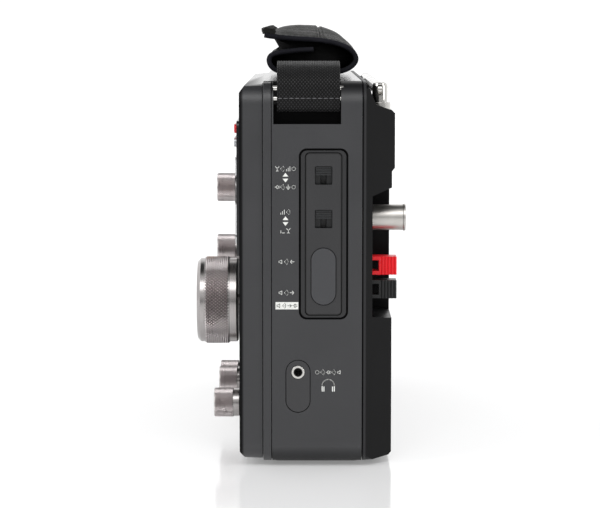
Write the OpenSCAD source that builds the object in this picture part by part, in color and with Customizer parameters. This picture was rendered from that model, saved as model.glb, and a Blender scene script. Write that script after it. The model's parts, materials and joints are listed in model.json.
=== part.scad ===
// Portable table-top radio receiver with a strap handle, seen from its front at -Y.
// Millimetres. +X is the listener's right, +Y the back, +Z up, and z = 0 is the surface it stands on.

/* [Cabinet] */
// Width of the cabinet
case_w = 296; // [285:1:380]
// Height of the cabinet above its feet
case_h = 194; // [188:1:244]
// Radius of the long corners between the top, the ends and the bottom
corner_r = 12; // [8:0.5:14]
// Thickness of the moulded walls
wall = 2.5; // [2:0.1:3]
// Depth of the front cabinet
front_depth = 11.7; // [10:0.1:16]
// Depth of the middle frame
middle_depth = 50.2; // [46:0.1:64]
// Depth of the rear housing
rear_depth = 15.1; // [13:0.1:20]
// Shadow gap between the mouldings
seam = 0.3; // [0.1:0.05:0.5]
// Height of the rubber feet
foot_h = 2; // [1:0.5:6]

/* [End panels] */
// How far an end panel reaches in from the end of the cabinet
panel_w = 16; // [15:0.5:22]
// Depth of the strap pocket
pocket_deep = 10; // [9:0.5:12]
// Height of the strap pocket, down from the top of the cabinet
pocket_h = 21.3; // [19:0.1:28]
// Width of the switch plate
plate_w = 18.1; // [16.5:0.1:19]
// Height of the switch plate
plate_h = 81.8; // [80:0.1:84]

/* [Controls] */
// Diameter of the tuning knob over its knurl
tuning_d = 46; // [36:0.5:56]
// Length of the tuning knob
tuning_len = 21.2; // [18:0.1:28]
// Diameter of the small knobs
knob_d = 15.5; // [12:0.5:18.6]
// Length of the small knobs
knob_len = 13.4; // [10:0.1:18]
// Diameter of the control shafts
shaft_d = 6; // [4:0.5:7]
// Gap between a knob and the front
knob_gap = 1.6; // [1:0.1:3]
// Running clearance round shafts and buttons, on each side
run_gap = 0.25; // [0.1:0.05:0.4]

/* [Display] */
// Width of the display panel
display_w = 81; // [78:1:84]
// Height of the display window
lens_h = 44; // [36:1:50]
// Width of one push button
button_w = 11.5; // [9:0.5:14]
// Height of one push button
button_h = 4.6; // [4:0.1:5.2]

/* [Speaker] */
// Height of the speaker grille
grille_h = 160; // [140:1:165]
// Depth of the loudspeaker behind the front wall
speaker_deep = 40; // [30:1:48]

/* [Antenna] */
// Outer diameter of the thickest tube of the telescopic antenna
mast_d = 6.8; // [5.6:0.2:7.2]
// Length of the thickest tube
mast_len = 235; // [200:1:240]
// Wall of each tube
mast_wall = 0.4; // [0.3:0.05:0.4]
// Sliding clearance between tubes, on each side
mast_gap = 0.05; // [0.02:0.01:0.06]

/* [Connectors] */
// Outer diameter of the coaxial antenna socket
coax_d = 13.2; // [11:0.1:15]
// How far the coaxial socket stands out behind the rear face
socket_reach = 7.6; // [5:0.1:12]
// Diameter of the headphone socket's hole
phone_bore = 3.6; // [3.5:0.05:3.7]

/* [Battery] */
// Diameter of a battery cell
cell_d = 18.5; // [14:0.1:20]
// Length of a battery cell
cell_len = 69; // [50:0.5:84]

/* [Handle] */
// Width of the strap webbing
strap_w = 32; // [26:0.5:35]
// Thickness of the strap webbing
strap_t = 1.7; // [1.2:0.1:2]
// Length of the wrapped grip
grip_len = 170; // [140:1:190]
// Thickness of the grip's padded leather
leather_t = 2.8; // [2:0.1:3]

/* [Hidden] */
$fn = 64;
eps = 0.01;

// Stations from front to back. The middle of the whole depth, knob to socket, is y = 0.
knob_reach = knob_gap + tuning_len;
cabinet_depth = front_depth + seam + middle_depth + seam + rear_depth;
front_y = (knob_reach - cabinet_depth - socket_reach) / 2;
front_back = front_y + front_depth;
middle_y = front_back + seam;
middle_back = middle_y + middle_depth;
rear_y = middle_back + seam;
rear_face = rear_y + rear_depth;
rear_rim = 1.6;
rear_band = 1.5;
inside_front = front_y + wall;

// Stations from bottom to top and from end to end.
z_bottom = foot_h;
z_top = foot_h + case_h;
z_mid = foot_h + case_h / 2;
x_end = case_w / 2;
front_inset = 1.2;
front_edge = 2.5;
band_d = 4.2;

// End panels: the strap pocket, the switch plate and the headphone plate.
panel_x = x_end - panel_w;
panel_y = middle_y + band_d + seam;
panel_back = middle_back - 0.2;
pocket_clear = 1;
pocket_w = strap_w + 2 * pocket_clear;
pocket_y = panel_y + 0.8;
pocket_mid = pocket_y + pocket_w / 2;
pocket_z = z_top - pocket_h;
pocket_floor = x_end - pocket_deep;
ring_side = 3.4;
ring_end = 2.35;
ring_w = plate_w + 2 * ring_side;
ring_h = plate_h + 2 * ring_end;
plate_y = panel_back - 7 - ring_w / 2;
plate_z = z_top - 33.4 - ring_h / 2;
plate_gap = 0.35;
plate_flange = 2;
flange_t = 1.2;
plate_in = x_end - wall;
groove_w = 1.05;
groove_deep = 0.8;
window_y = 8.8;
window_z = 9.2;
window_drop = [11.3, 33.2];
slider_z = 4.3;
slider_travel = 4.4;
switch_deep = 8;
cover_w = 12.3;
cover_h = 28.7;
cover_t = 2.4;
cover_proud = 0.6;
cover_z = plate_z - plate_h / 2 + 19.5;
shelf = 0.7;
jack_pitch = 15;
rca_r = 4.1;
rca_bore = 1.6;
rca_deep = 7;
rca_floor = x_end - 11.5;
rca_base = 8;
phone_w = 12;
phone_h = 26.4;
phone_y = panel_y + 13.2;
phone_z = z_bottom + 40;
phone_jack_z = phone_z + (phone_h - phone_w) / 2;
phone_len = 14;

// Front controls: columns measured from the right end, rows from the top or the bottom.
tuning_x = x_end - 48;
tuning_z = z_bottom + 78.4;
display_x = x_end - 7 - display_w / 2;
display_top = z_top - 20;
lens_top = z_top - 38.5;
lens_rim = 3;
lens_w = display_w - 2 * lens_rim;
lens_z = lens_top - lens_h / 2;
window_w = lens_w - 4;
window_h = lens_h - 4;
display_h = display_top - lens_top + lens_h + 6;
display_t = 1.4;
lens_t = 0.8;
column_x = x_end - 100;
column_z = [z_top - 60, z_top - 93.5];
bass_x = x_end - 144.6;
treble_x = x_end - 122;
volume_x = x_end - 47;
low_row_z = z_bottom + 24;
button_row_z = display_top - 11;
power_z = display_top - 4.1;
button_pitch = 16;
button_x = display_x + display_w / 2 - 11;
button_proud = 1.3;
button_travel = 0.9;
button_stem = 3;
flange_gap = 0.4;
board_t = 1.6;
switch_h = 1.6;
control_board_y = inside_front + 3.6;

// The speaker takes the room that the controls leave.
grille_left = -x_end + 8;
grille_right = bass_x - knob_d / 2 - 10;
grille_w = grille_right - grille_left;
grille_x = (grille_left + grille_right) / 2;
grille_z = z_mid - 1;
grille_t = 0.8;
grille_lip = 5;
speaker_r = (min(grille_w, grille_h) - 2 * grille_lip - 8) / 2;
cone_r = speaker_r - 5;
magnet_r = 26;
magnet_t = 13;

// Screw posts: place of each, and the screw's own sizes.
post_low = z_bottom + 10;
post_low_x = x_end - 24;
post_high = z_top - 23;
post_high_x = x_end - 27;
centre_post_x = bass_x - 11.4;
post_places = concat([for (x = [-post_low_x, centre_post_x, post_low_x]) [x, post_low]],
                     [for (x = [-post_high_x, centre_post_x, post_high_x]) [x, post_high]]);
post_r = 4;
boss_r = post_r + 0.6;
screw_r = 1.5;
screw_len = 17;
head_r = 2.9;
head_t = 2.2;
counterbore = 5;
screw_seat = rear_face - counterbore;
screw_tip = screw_seat + head_t - screw_len;

// Rear housing, and the bay in its right end for the antenna connections.
shelf_z = z_top - 13.7;
shelf_drop = 3.1;
slope_y = rear_y + rear_rim;
slope_run = 5.2;
slope_drop = z_top - 1 - (shelf_z + 1.8);
side_slope = 14;
rear_side = 3;
bay_x = x_end - 52;
bay_y = rear_face - 10.2;
bay_low = z_bottom + 72;
bay_high = z_bottom + 136;
coax_x = x_end - 33;
coax_z = z_bottom + 123.2;
coax_wall = 1.6;
contact_r = 2;
contact_bore = 1.2;
contact_len = 9;
lever_x = x_end - 30;
lever_w = 10;
lever_z = [z_bottom + 98.8, z_bottom + 86.5];
lever_h = 9.5;
lever_leg = 2;
leg_pitch = lever_h - lever_leg;
lever_out = 3.6;
lever_len = 9.3;
lever_travel = 3;
block_deep = 6.4;
wire_r = 1.25;
wire_x = lever_x - 12;

// Battery bay and door, in the left of the rear face.
spring_room = 8;
plate_room = 1.2;
door_w = cell_len + spring_room + plate_room;
door_h = 2 * cell_d + 13;
door_t = 2.2;
door_gap = 0.3;
door_x = -x_end + 30 + door_w / 2;
door_z = z_bottom + 12 + door_h / 2;
bay_wall = 1.8;
cell_x = door_x + (spring_room - plate_room) / 2;
cell_y = rear_face - door_t - 1 - cell_d / 2;
tray_y = cell_y - cell_d / 2 - 0.8 - bay_wall;
contact_t = 0.5;

// Telescopic antenna, lying along the step behind the top.
mast_x = x_end - 22;
mast_y = rear_face - 6.2;
swivel_r = 3.9;
collar_r = 5.5;
collar_z = z_top - 10.9;
socket_z = shelf_z - 4.6;
spindle_r = 2.4;
pivot_z = z_top - 4.5;
pivot_r = 1;
tongue_t = 2.1;
tongue_r = 2.6;
root_gap = 4.9;
tip_len = 8;
mast_start = mast_x - root_gap;
clip_x = mast_start - mast_len + 54;

// Strap and grip. Each strap end hangs in a slack loop round its anchor pin.
pin_r = 1.3;
anchor = [x_end - 4.8, z_top - 8.7];
guide = [x_end - 5.4, z_top - 3.5];
loop = [anchor[0], z_top - 12.3];
loop_r = pin_r + 0.1 + strap_t / 2;
strap_y = pocket_mid + pocket_clear - 0.3;
strap_z = z_top + 8.4;
strap_in = grip_len / 2 - 5;
grip_z = z_top + 1.2;

module rounded_rect(w, h, r) {
    square([w - 2 * r, h], center = true);
    square([w, h - 2 * r], center = true);
    for (sx = [-1, 1], sy = [-1, 1])
        translate([sx * (w / 2 - r), sy * (h / 2 - r)]) circle(r = r);
}

// A rounded rectangle standing in the XZ plane, from y0 back to y1.
module upright(w, h, r, y0, y1, x = 0, z = 0) {
    translate([x, y1, z]) rotate([90, 0, 0]) linear_extrude(y1 - y0) rounded_rect(w, h, r);
}

// A rounded rectangle standing in the YZ plane, from x0 out to x1.
module end_plate(w, h, r, x0, x1, y, z) {
    translate([x0, y, z]) rotate([90, 0, 90]) linear_extrude(x1 - x0) rounded_rect(w, h, r);
}

// An outline drawn in (y, z), carried along X from x0 to x1.
module along_x(points, x0, x1) {
    translate([x0, 0, 0]) rotate([90, 0, 90]) linear_extrude(x1 - x0) polygon(points);
}

// An outline drawn in (x, y), carried along Z from z0 to z1.
module along_z(points, z0, z1) {
    translate([0, 0, z0]) linear_extrude(z1 - z0) polygon(points);
}

module box(low, high) {
    translate(low) cube(high - low);
}

// A round bar along +Y, +X or +Z, starting at the point given.
module bar_y(r, at, len) { translate(at) rotate([-90, 0, 0]) cylinder(r = r, h = len); }
module bar_x(r, at, len) { translate(at) rotate([0, 90, 0]) cylinder(r = r, h = len); }
module bar_z(r, at, len) { translate(at) cylinder(r = r, h = len); }

function stadium_r(w) = w / 2 - 0.02;

/* ---- Cabinet ---- */

module front_outline(inset) {
    low = z_bottom + front_inset + inset;
    high = z_top - front_inset - inset;
    near = front_y + inset;
    intersection() {
        upright(case_w - 2 * (front_inset + inset), high - low, corner_r - front_inset, near,
                front_back + (inset > 0 ? 1 : 0), 0, z_mid);
        along_x([[near, low + 2 + front_edge], [near + front_edge, low + 1], [front_back + 2, low - 0.2],
                 [front_back + 2, high + 0.2], [near + front_edge, high - 1],
                 [near, high - 2 - front_edge]],
                -x_end, x_end);
    }
}

module front_cabinet() {
    shaft_r = shaft_d / 2 + run_gap;
    color("#434345") difference() {
        union() {
            difference() {
                front_outline(0);
                front_outline(wall);
            }
            for (p = post_places)
                bar_y(post_r, [p[0], inside_front - 0.5, p[1]], middle_back - inside_front + 0.5);
        }
        for (p = post_places)
            bar_y(screw_r + 0.05, [p[0], screw_tip - 1, p[1]], middle_back - screw_tip + 2);
        bar_y(cone_r - 1, [grille_x, front_y - 1, grille_z], wall + 2);
        upright(window_w, window_h, 1, front_y - 1, inside_front + 1, display_x, lens_z);
        bar_y(shaft_r, [tuning_x, front_y - 1, tuning_z], wall + 2);
        for (p = small_knob_places()) bar_y(shaft_r, [p[0], front_y - 1, p[1]], wall + 2);
        for (p = button_places()) bar_y(button_stem / 2 + run_gap, [p[0], front_y - 1, p[1]], wall + 2);
    }
}

function small_knob_places() = [
    [volume_x, low_row_z], [bass_x, low_row_z], [treble_x, low_row_z],
    [column_x, column_z[0]], [column_x, column_z[1]]
];

// The power button first, then the row from right to left.
function button_places() = concat(
    [[button_x, power_z]],
    [for (i = [0:3]) [button_x - i * button_pitch, button_row_z]]
);

module middle_frame() {
    color("#434345") difference() {
        upright(case_w, case_h, corner_r, middle_y, middle_back, 0, z_mid);
        upright(case_w - 2 * wall, case_h - 2 * wall, corner_r - wall,
                middle_y - 1, middle_back + 1, 0, z_mid);
        for (side = [-1, 1]) translate([side * x_end, 0, z_mid])
            translate([-panel_w, middle_y + band_d, -case_h]) cube([2 * panel_w, middle_depth, 2 * case_h]);
        for (side = [-1, 1]) box([side * foot_x - foot_w / 2 - 0.1, foot_y0 - 0.1, z_bottom - 1],
                                 [side * foot_x + foot_w / 2 + 0.1, foot_y1 + 0.1, z_bottom + foot_sink]);
    }
}

foot_w = 13;
foot_x = x_end - 26;
foot_y0 = panel_y + 0.5;
foot_y1 = panel_back - 1;
foot_sink = 0.8;

module feet() {
    color("#1b1b1c") for (side = [-1, 1])
        translate([side * foot_x, (foot_y0 + foot_y1) / 2, 0])
            linear_extrude(foot_h + foot_sink) rounded_rect(foot_w, foot_y1 - foot_y0, 3);
}

// The side wall, its pocket for the strap and the seats of the strap's two pins, for the right end.
module end_panel_shell() {
    difference() {
        union() {
            intersection() {
                difference() {
                    upright(case_w, case_h, corner_r, panel_y, panel_back, 0, z_mid);
                    upright(case_w - 2 * wall, case_h - 2 * wall, corner_r - wall,
                            panel_y - 1, panel_back + 1, 0, z_mid);
                }
                box([panel_x + seam, panel_y - 1, 0], [x_end + 1, panel_back + 1, z_top + 1]);
            }
            intersection() {
                upright(case_w, case_h, corner_r, panel_y, pocket_y + pocket_w + 2, 0, z_mid);
                box([pocket_floor - 2, panel_y, pocket_z - 2],
                    [x_end + 1, pocket_y + pocket_w + 2, z_top + 1]);
            }
        }
        box([pocket_floor, pocket_y, pocket_z], [x_end + 1, pocket_y + pocket_w, z_top + 1]);
        for (p = [anchor, guide]) bar_y(pin_r + 0.05, [p[0], panel_y + 0.2, p[1]], pocket_w + 2);
    }
}

module right_end_panel() {
    color("#434345") difference() {
        end_panel_shell();
        difference() {
            end_plate(ring_w, ring_h, 4, x_end - groove_deep, x_end + 1, plate_y, plate_z);
            end_plate(ring_w - 2 * groove_w, ring_h - 2 * groove_w, 3.2,
                      x_end - groove_deep - 1, x_end + 2, plate_y, plate_z);
        }
        end_plate(plate_w + 2 * plate_gap, plate_h + 2 * plate_gap, 2.4,
                  plate_in - 1, x_end + 1, plate_y, plate_z);
        end_plate(phone_w + 2 * plate_gap, phone_h + 2 * plate_gap, stadium_r(phone_w + 2 * plate_gap),
                  x_end - wall - 1, x_end + 1, phone_y, phone_z);
    }
}

dc_z = z_bottom + 44;
dc_r = 5.5;
dc_bore = 2.75;
dc_pin = 1;

module left_end_panel() {
    color("#434345") difference() {
        mirror([1, 0, 0]) end_panel_shell();
        bar_x(dc_r + 0.1, [-x_end - 1, phone_y, dc_z], wall + 2);
    }
}

// The rear housing's solid, drawn in by inset on every side.
module rear_outline(inset) {
    side = x_end - rear_side - inset;
    back = rear_face - inset;
    start = slope_y - inset / 2;
    intersection() {
        upright(case_w - 2 * inset, case_h - 2 * inset, corner_r - inset,
                rear_y - 2, back + rear_band, 0, z_mid);
        along_z([[-side, rear_y - 3], [side, rear_y - 3], [side, start],
                 [side - side_slope, back], [side - side_slope - rear_band, back + rear_band],
                 [-side + side_slope + rear_band, back + rear_band], [-side + side_slope, back],
                 [-side, start]], -1, z_top + 2);
        along_x([[rear_y - 3, z_bottom + 0.4 + inset], [back - 1.4, z_bottom + 2 + inset],
                 [back, z_bottom + 3.4 + inset], [back, z_top - 46 + inset],
                 [back + rear_band, z_top - 44.4 + inset],
                 [back + rear_band, shelf_z - 2.8 - inset], [back, shelf_z + 1.8 - shelf_drop - inset],
                 [start + slope_run, shelf_z + 1.8 - inset], [start, z_top - 1 - inset],
                 [rear_y - 3, z_top - 1 - inset]], -x_end, x_end);
    }
}

module connection_bay(grow) {
    low = bay_low - grow;
    high = bay_high + grow;
    along_x([[bay_y - grow, low + 2.5], [rear_face + 5, low], [rear_face + 5, high + 5.5],
             [bay_y - grow, high]], bay_x - grow, x_end + 1);
}

module rear_cabinet() {
    color("#262628") difference() {
        union() {
            difference() {
                union() {
                    upright(case_w, case_h, corner_r, rear_y, rear_y + rear_rim, 0, z_mid);
                    intersection() {
                        rear_outline(0);
                        box([-x_end, rear_y, 0], [x_end, rear_face + 5, z_top]);
                    }
                }
                difference() {
                    rear_outline(wall);
                    connection_bay(wall);
                }
            }
            intersection() {
                box([door_x - door_w / 2 - bay_wall, tray_y, door_z - door_h / 2 - bay_wall],
                    [door_x + door_w / 2 + bay_wall, rear_face - 1, door_z + door_h / 2 + bay_wall]);
                box([-x_end, tray_y, z_bottom + wall + 1], [x_end, rear_face, z_top]);
            }
            for (p = post_places)
                bar_y(boss_r, [p[0], middle_back + 0.2, p[1]], rear_face - 0.5 - middle_back - 0.2);
        }
        connection_bay(0);
        box([door_x - door_w / 2, tray_y + bay_wall, door_z - door_h / 2],
            [door_x + door_w / 2, rear_face + 5, door_z + door_h / 2]);
        for (p = post_places) {
            bar_y(head_r + 0.3, [p[0], screw_seat, p[1]], counterbore + 5);
            bar_y(screw_r + 0.2, [p[0], middle_back, p[1]], rear_depth);
        }
        bar_z(collar_r + 0.05, [mast_x, mast_y, socket_z], 20);
        bar_y(coax_d / 2 - 1.5 + 0.1, [coax_x, bay_y - wall - 1, coax_z], wall + 2);
        box([block_left - 0.1, bay_y - wall - 1, block_low - 0.1],
            [block_right + 0.1, bay_y + 1, block_high + 0.1]);
        for (i = [0:13]) translate([vent_x + i * vent_pitch, rear_face - wall - 1, vent_z - vent_h / 2])
            cube([vent_w, wall + 3, vent_h]);
    }
}

vent_x = door_x + door_w / 2 + 14;
vent_pitch = 5.2;
vent_w = 2.2;
vent_h = 34;
vent_z = door_z;
clip_w = 9;

module case_screws() {
    color("#8f9093") for (p = post_places) {
        difference() {
            bar_y(head_r, [p[0], screw_seat, p[1]], head_t);
            for (a = [0, 90]) translate([p[0], screw_seat + head_t, p[1]]) rotate([0, a, 0])
                cube([2.6, 2.2, 0.7], center = true);
        }
        bar_y(screw_r, [p[0], screw_tip, p[1]], screw_len - head_t + 0.2);
    }
}

/* ---- Right end: switches, line output and headphones ---- */

module switch_plate() {
    color("#3b3b3d") difference() {
        union() {
            end_plate(plate_w, plate_h, 2.2, plate_in - flange_t, x_end - 0.1, plate_y, plate_z);
            end_plate(plate_w + 2 * plate_flange, plate_h + 2 * plate_flange, 2.5,
                      plate_in - flange_t - eps, plate_in - 0.02, plate_y, plate_z);
        }
        for (drop = window_drop) window_cut(drop);
        end_plate(cover_w + 0.6, cover_h + 0.6, stadium_r(cover_w + 0.6),
                  cover_seat - 0.1, x_end + 1, plate_y, cover_z);
        end_plate(cover_w - 2 * shelf, cover_h - 2 * shelf, stadium_r(cover_w - 2 * shelf),
                  plate_in - flange_t - 1, x_end + 1, plate_y, cover_z);
    }
}

cover_seat = x_end + cover_proud - cover_t;

function window_mid(drop) = plate_z + plate_h / 2 - drop;

module window_cut(drop) {
    z = window_mid(drop);
    end_plate(window_y, window_z, 0.6, plate_in - flange_t - 1, x_end + 1, plate_y, z);
}

slider_back = plate_in - flange_t - 0.1;

module slide_switch_bodies() {
    color("#1d1f20") for (drop = window_drop) {
        z = window_mid(drop);
        difference() {
            box([slider_back - switch_deep, plate_y - 6, z - 7], [slider_back, plate_y + 6, z + 7]);
            box([slider_back - 3, plate_y - 1.4, z - slider_z / 2 - 2.4],
                [slider_back + 1, plate_y + 1.4, z + slider_z / 2 + 2.4]);
        }
    }
}

module slider(drop) {
    z = window_mid(drop) + slider_travel / 2;
    color("#2a2b2d") union() {
        difference() {
            box([slider_back + 0.15, plate_y - window_y / 2 + 0.3, z - slider_z / 2],
                [x_end - 0.6, plate_y + window_y / 2 - 0.3, z + slider_z / 2]);
            for (i = [-1:1]) box([x_end - 1.1, plate_y - window_y, z + i * 1.2 - 0.25],
                                 [x_end, plate_y + window_y, z + i * 1.2 + 0.25]);
        }
        box([slider_back - 2.7, plate_y - 1.2, z - 1.8], [slider_back + 0.5, plate_y + 1.2, z + 1.8]);
    }
}

module antenna_switch_slider() { slider(window_drop[0]); }
module sensitivity_switch_slider() { slider(window_drop[1]); }

module line_out_cover() {
    color("#4c4c4f") union() {
        end_plate(cover_w, cover_h, stadium_r(cover_w), cover_seat, x_end + cover_proud, plate_y, cover_z);
    }
}

// Two phono sockets on one moulding: in each, a sleeve round the contact tube that takes the plug's pin.
module line_out_jacks() {
    color("#c9c7c0") union() {
        end_plate(cover_w + 3, cover_h + 3, 5, rca_floor - rca_base, rca_floor, plate_y, cover_z);
        for (z = [cover_z - jack_pitch / 2, cover_z + jack_pitch / 2]) difference() {
            union() {
                difference() {
                    bar_x(rca_r, [rca_floor - 0.5, plate_y, z], cover_seat - rca_floor + 0.2);
                    bar_x(rca_r - 0.6, [rca_floor + 3.4, plate_y, z], 20);
                }
                bar_x(rca_bore + 0.9, [rca_floor, plate_y, z], rca_deep + 0.5);
            }
            bar_x(rca_bore, [rca_floor + 0.5, plate_y, z], 20);
        }
    }
}

module headphone_plate() {
    color("#434345") difference() {
        union() {
            end_plate(phone_w, phone_h, stadium_r(phone_w),
                      plate_in - flange_t, x_end - 0.05, phone_y, phone_z);
            end_plate(phone_w + 2.4, phone_h + 2.4, stadium_r(phone_w + 2.4),
                      plate_in - flange_t - eps, plate_in - 0.02, phone_y, phone_z);
        }
        bar_x(phone_ring + 0.1, [plate_in - 3, phone_y, phone_jack_z], 10);
    }
}

phone_ring = 3.3;

module headphone_jack() {
    color("#d8d6cf") difference() {
        union() {
            box([plate_in - flange_t - 0.2 - phone_len, phone_y - 4.5, phone_jack_z - 5],
                [plate_in - flange_t - 0.2, phone_y + 4.5, phone_jack_z + 5]);
            bar_x(phone_ring, [plate_in - flange_t - 0.5, phone_y, phone_jack_z], flange_t + wall + 0.8);
        }
        bar_x(phone_bore / 2, [x_end + 0.3 - phone_len, phone_y, phone_jack_z], phone_len + 1);
    }
}

module dc_jack() {
    color("#1d1f20") union() {
        difference() {
            bar_x(dc_r, [-x_end - cover_proud, phone_y, dc_z], 13);
            bar_x(dc_bore, [-x_end - 1, phone_y, dc_z], 10.5);
        }
        bar_x(dc_pin, [-x_end + 1, phone_y, dc_z], 10);
    }
}

/* ---- Front: display, buttons and knobs ---- */

module display_panel() {
    display_z = display_top - display_h / 2;
    color("#17181a") difference() {
        upright(display_w, display_h, 3, front_y - display_t, front_y - 0.02, display_x, display_z);
        upright(window_w, window_h, 1, front_y - 5, front_y + 1, display_x, lens_z);
        for (p = button_places())
            upright(button_w + 2 * run_gap, button_h + 2 * run_gap, stadium_r(button_h + 2 * run_gap),
                    front_y - 5, front_y + 1, p[0], p[1]);
    }
}

module display_lens() {
    y = front_y - display_t;
    color("#0b0c0e") upright(lens_w, lens_h, 1.5, y - lens_t, y - 0.02, display_x, lens_z);
}

module lcd_module() {
    y = front_y - display_t + 0.2;
    color("#a9683a") union() {
        upright(window_w - 1, window_h - 1, 0.5, y, inside_front + 0.5, display_x, lens_z);
        upright(lens_w, lens_h, 0.5, inside_front + 0.1, control_board_y - 0.1, display_x, lens_z);
    }
}

// A push button: its cap stands out of the panel, and its stem ends just short of a switch on the board.
module push_button(place, colour) {
    x = place[0];
    z = place[1];
    proud = front_y - display_t - button_proud;
    color(colour) union() {
        upright(button_w, button_h, stadium_r(button_h), proud, front_y - button_travel - flange_gap, x, z);
        bar_y(button_stem / 2, [x, front_y - button_travel - flange_gap - 0.5, z],
              control_board_y - switch_h - 0.1 - front_y + flange_gap + 0.5);
    }
}

module power_button() { push_button(button_places()[0], "#d8283a"); }
module band_button() { push_button(button_places()[1], "#b9bcc0"); }
module memory_button() { push_button(button_places()[2], "#b9bcc0"); }
module scan_button() { push_button(button_places()[3], "#b9bcc0"); }
module step_button() { push_button(button_places()[4], "#b9bcc0"); }

module control_board() {
    left = display_x - display_w / 2 + 1;
    right = display_x + display_w / 2 - 2;
    color("#1f5c3a") difference() {
        union() {
            box([left, control_board_y, lens_top - lens_h - 3],
                [right, control_board_y + board_t, display_top + 2]);
            for (p = button_places())
                box([p[0] - 2, control_board_y - switch_h + button_travel, p[1] - 2],
                    [p[0] + 2, control_board_y + 0.2, p[1] + 2]);
        }
        for (p = post_places) bar_y(post_r + 0.5, [p[0], control_board_y - 1, p[1]], board_t + 2);
    }
}

module tuning_knob() {
    back = front_y - knob_gap;
    barrel_r = tuning_d / 2 - 1;
    color("#b5aeb0") union() {
        difference() {
            union() {
                translate([tuning_x, back, tuning_z]) rotate([90, 0, 0]) rotate_extrude()
                    polygon([[0, 0], [barrel_r - 0.8, 0], [barrel_r, 0.8],
                             [barrel_r, 4.3], [tuning_d / 2, 4.5],
                             [tuning_d / 2, 17.3], [barrel_r, 17.5], [barrel_r, tuning_len - 1.7],
                             [barrel_r - 1.7, tuning_len], [0, tuning_len]]);
            }
            translate([tuning_x, back, tuning_z]) rotate([90, 0, 0]) translate([0, 0, tuning_len - 0.6])
                cylinder(r = barrel_r - 3.5, h = 2);
            bar_y(4.5, [tuning_x + barrel_r - 9, back - tuning_len - 3.2, tuning_z], 5);
        }
        bar_y(shaft_d / 2, [tuning_x, back - 0.5, tuning_z], knob_gap + wall + 3);
    }
}

// A small knob with its control shaft.
module small_knob(place) {
    x = place[0];
    z = place[1];
    back = front_y - knob_gap + 0.5;
    skirt_r = knob_d / 2 - 0.4;
    color("#a79da0") union() {
        translate([x, back, z]) rotate([90, 0, 0]) rotate_extrude()
            polygon([[0, 0], [skirt_r - 0.3, 0], [skirt_r, 0.3], [skirt_r, 2.9], [knob_d / 2, 3.1],
                     [knob_d / 2, knob_len - 0.8], [knob_d / 2 - 0.8, knob_len], [0, knob_len]]);
        bar_y(shaft_d / 2, [x, back - 0.5, z], knob_gap + wall + 3);
    }
}

module volume_knob() { small_knob(small_knob_places()[0]); }
module bass_knob() { small_knob(small_knob_places()[1]); }
module treble_knob() { small_knob(small_knob_places()[2]); }
module bandwidth_knob() { small_knob(small_knob_places()[3]); }
module fine_tuning_knob() { small_knob(small_knob_places()[4]); }

// Bodies of the tuning encoder and the five small controls, behind the front wall.
module rotary_controls() {
    color("#8c8f92") for (p = concat([[tuning_x, tuning_z]], small_knob_places())) {
        r = (p == [tuning_x, tuning_z]) ? 11 : 8;
        difference() {
            bar_y(r, [p[0], inside_front + 0.1, p[1]], 11);
            bar_y(shaft_d / 2 + run_gap, [p[0], inside_front - 1, p[1]], 7);
        }
    }
}

/* ---- Inside ---- */

module main_board() {
    x0 = grille_right + 2;
    x1 = x_end - 26;
    y = front_y + 45;
    color("#1f5c3a") union() {
        box([x0, y, z_bottom + 28], [x1, y + board_t, z_top - 42]);
        for (i = [0:4]) bar_y(4, [x0 + 12 + 11 * i, y - 11.5, z_bottom + 40], 12);
        for (i = [0:2])
            box([x0 + 10 + 24 * i, y - 2.2, z_bottom + 58], [x0 + 26 + 24 * i, y + 0.2, z_bottom + 74]);
    }
}

module shield_can() {
    x0 = grille_right + 34;
    y = front_y + 45 + board_t;
    color("#b8babd") box([x0, y + 0.02, z_bottom + 80], [x0 + 52, y + 7, z_bottom + 118]);
}

ferrite_x = -12;
ferrite_y = front_y + 34;
ferrite_z = z_top - 9.5;
ferrite_len = 150;

module ferrite_rod() {
    color("#3a3634") bar_x(4.5, [ferrite_x - ferrite_len / 2, ferrite_y, ferrite_z], ferrite_len);
}

module ferrite_coil() {
    color("#b4693a") for (side = [-1, 1]) difference() {
        bar_x(6, [ferrite_x + side * 48 - 14, ferrite_y, ferrite_z], 28);
        bar_x(4.6, [ferrite_x + side * 48 - 15, ferrite_y, ferrite_z], 30);
    }
}

module speaker_grille() {
    color("#1c1c1d") difference() {
        upright(grille_w, grille_h, 8, front_y - grille_t, front_y - 0.02, grille_x, grille_z);
        for (i = [0:grille_cols - 1], j = [0:grille_rows - 1])
            translate([grille_x + (i - (grille_cols - 1) / 2) * slot_pitch_x - slot_w / 2, front_y - 2,
                       grille_z + (j - (grille_rows - 1) / 2) * slot_pitch_z - slot_h / 2])
                cube([slot_w, 4, slot_h]);
    }
}

slot_w = 16;
slot_h = 2.2;
slot_pitch_x = 20;
slot_pitch_z = 5;
grille_cols = floor((grille_w - 22) / slot_pitch_x);
grille_rows = floor((grille_h - 20) / slot_pitch_z);

module speaker_frame() {
    y = inside_front + 0.1;
    back = speaker_deep - magnet_t;
    color("#4a4c50") difference() {
        union() {
            bar_y(speaker_r, [grille_x, y, grille_z], 2);
            translate([grille_x, y, grille_z]) rotate([-90, 0, 0]) rotate_extrude()
                polygon([[cone_r - 1, 0], [cone_r + 1, 0], [cone_r + 0.5, 7], [magnet_r - 2, back],
                         [14, back], [14, back - 1.5], [magnet_r - 3, back - 1.5], [cone_r - 1, 6.5]]);
        }
        bar_y(cone_r - 1, [grille_x, y - 1, grille_z], 6);
        for (a = [0:60:300]) translate([grille_x, y, grille_z]) rotate([0, a, 0])
            translate([0, 8, (cone_r + magnet_r) / 2 - 8]) cube([14, back - 12, 16]);
    }
}

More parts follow.
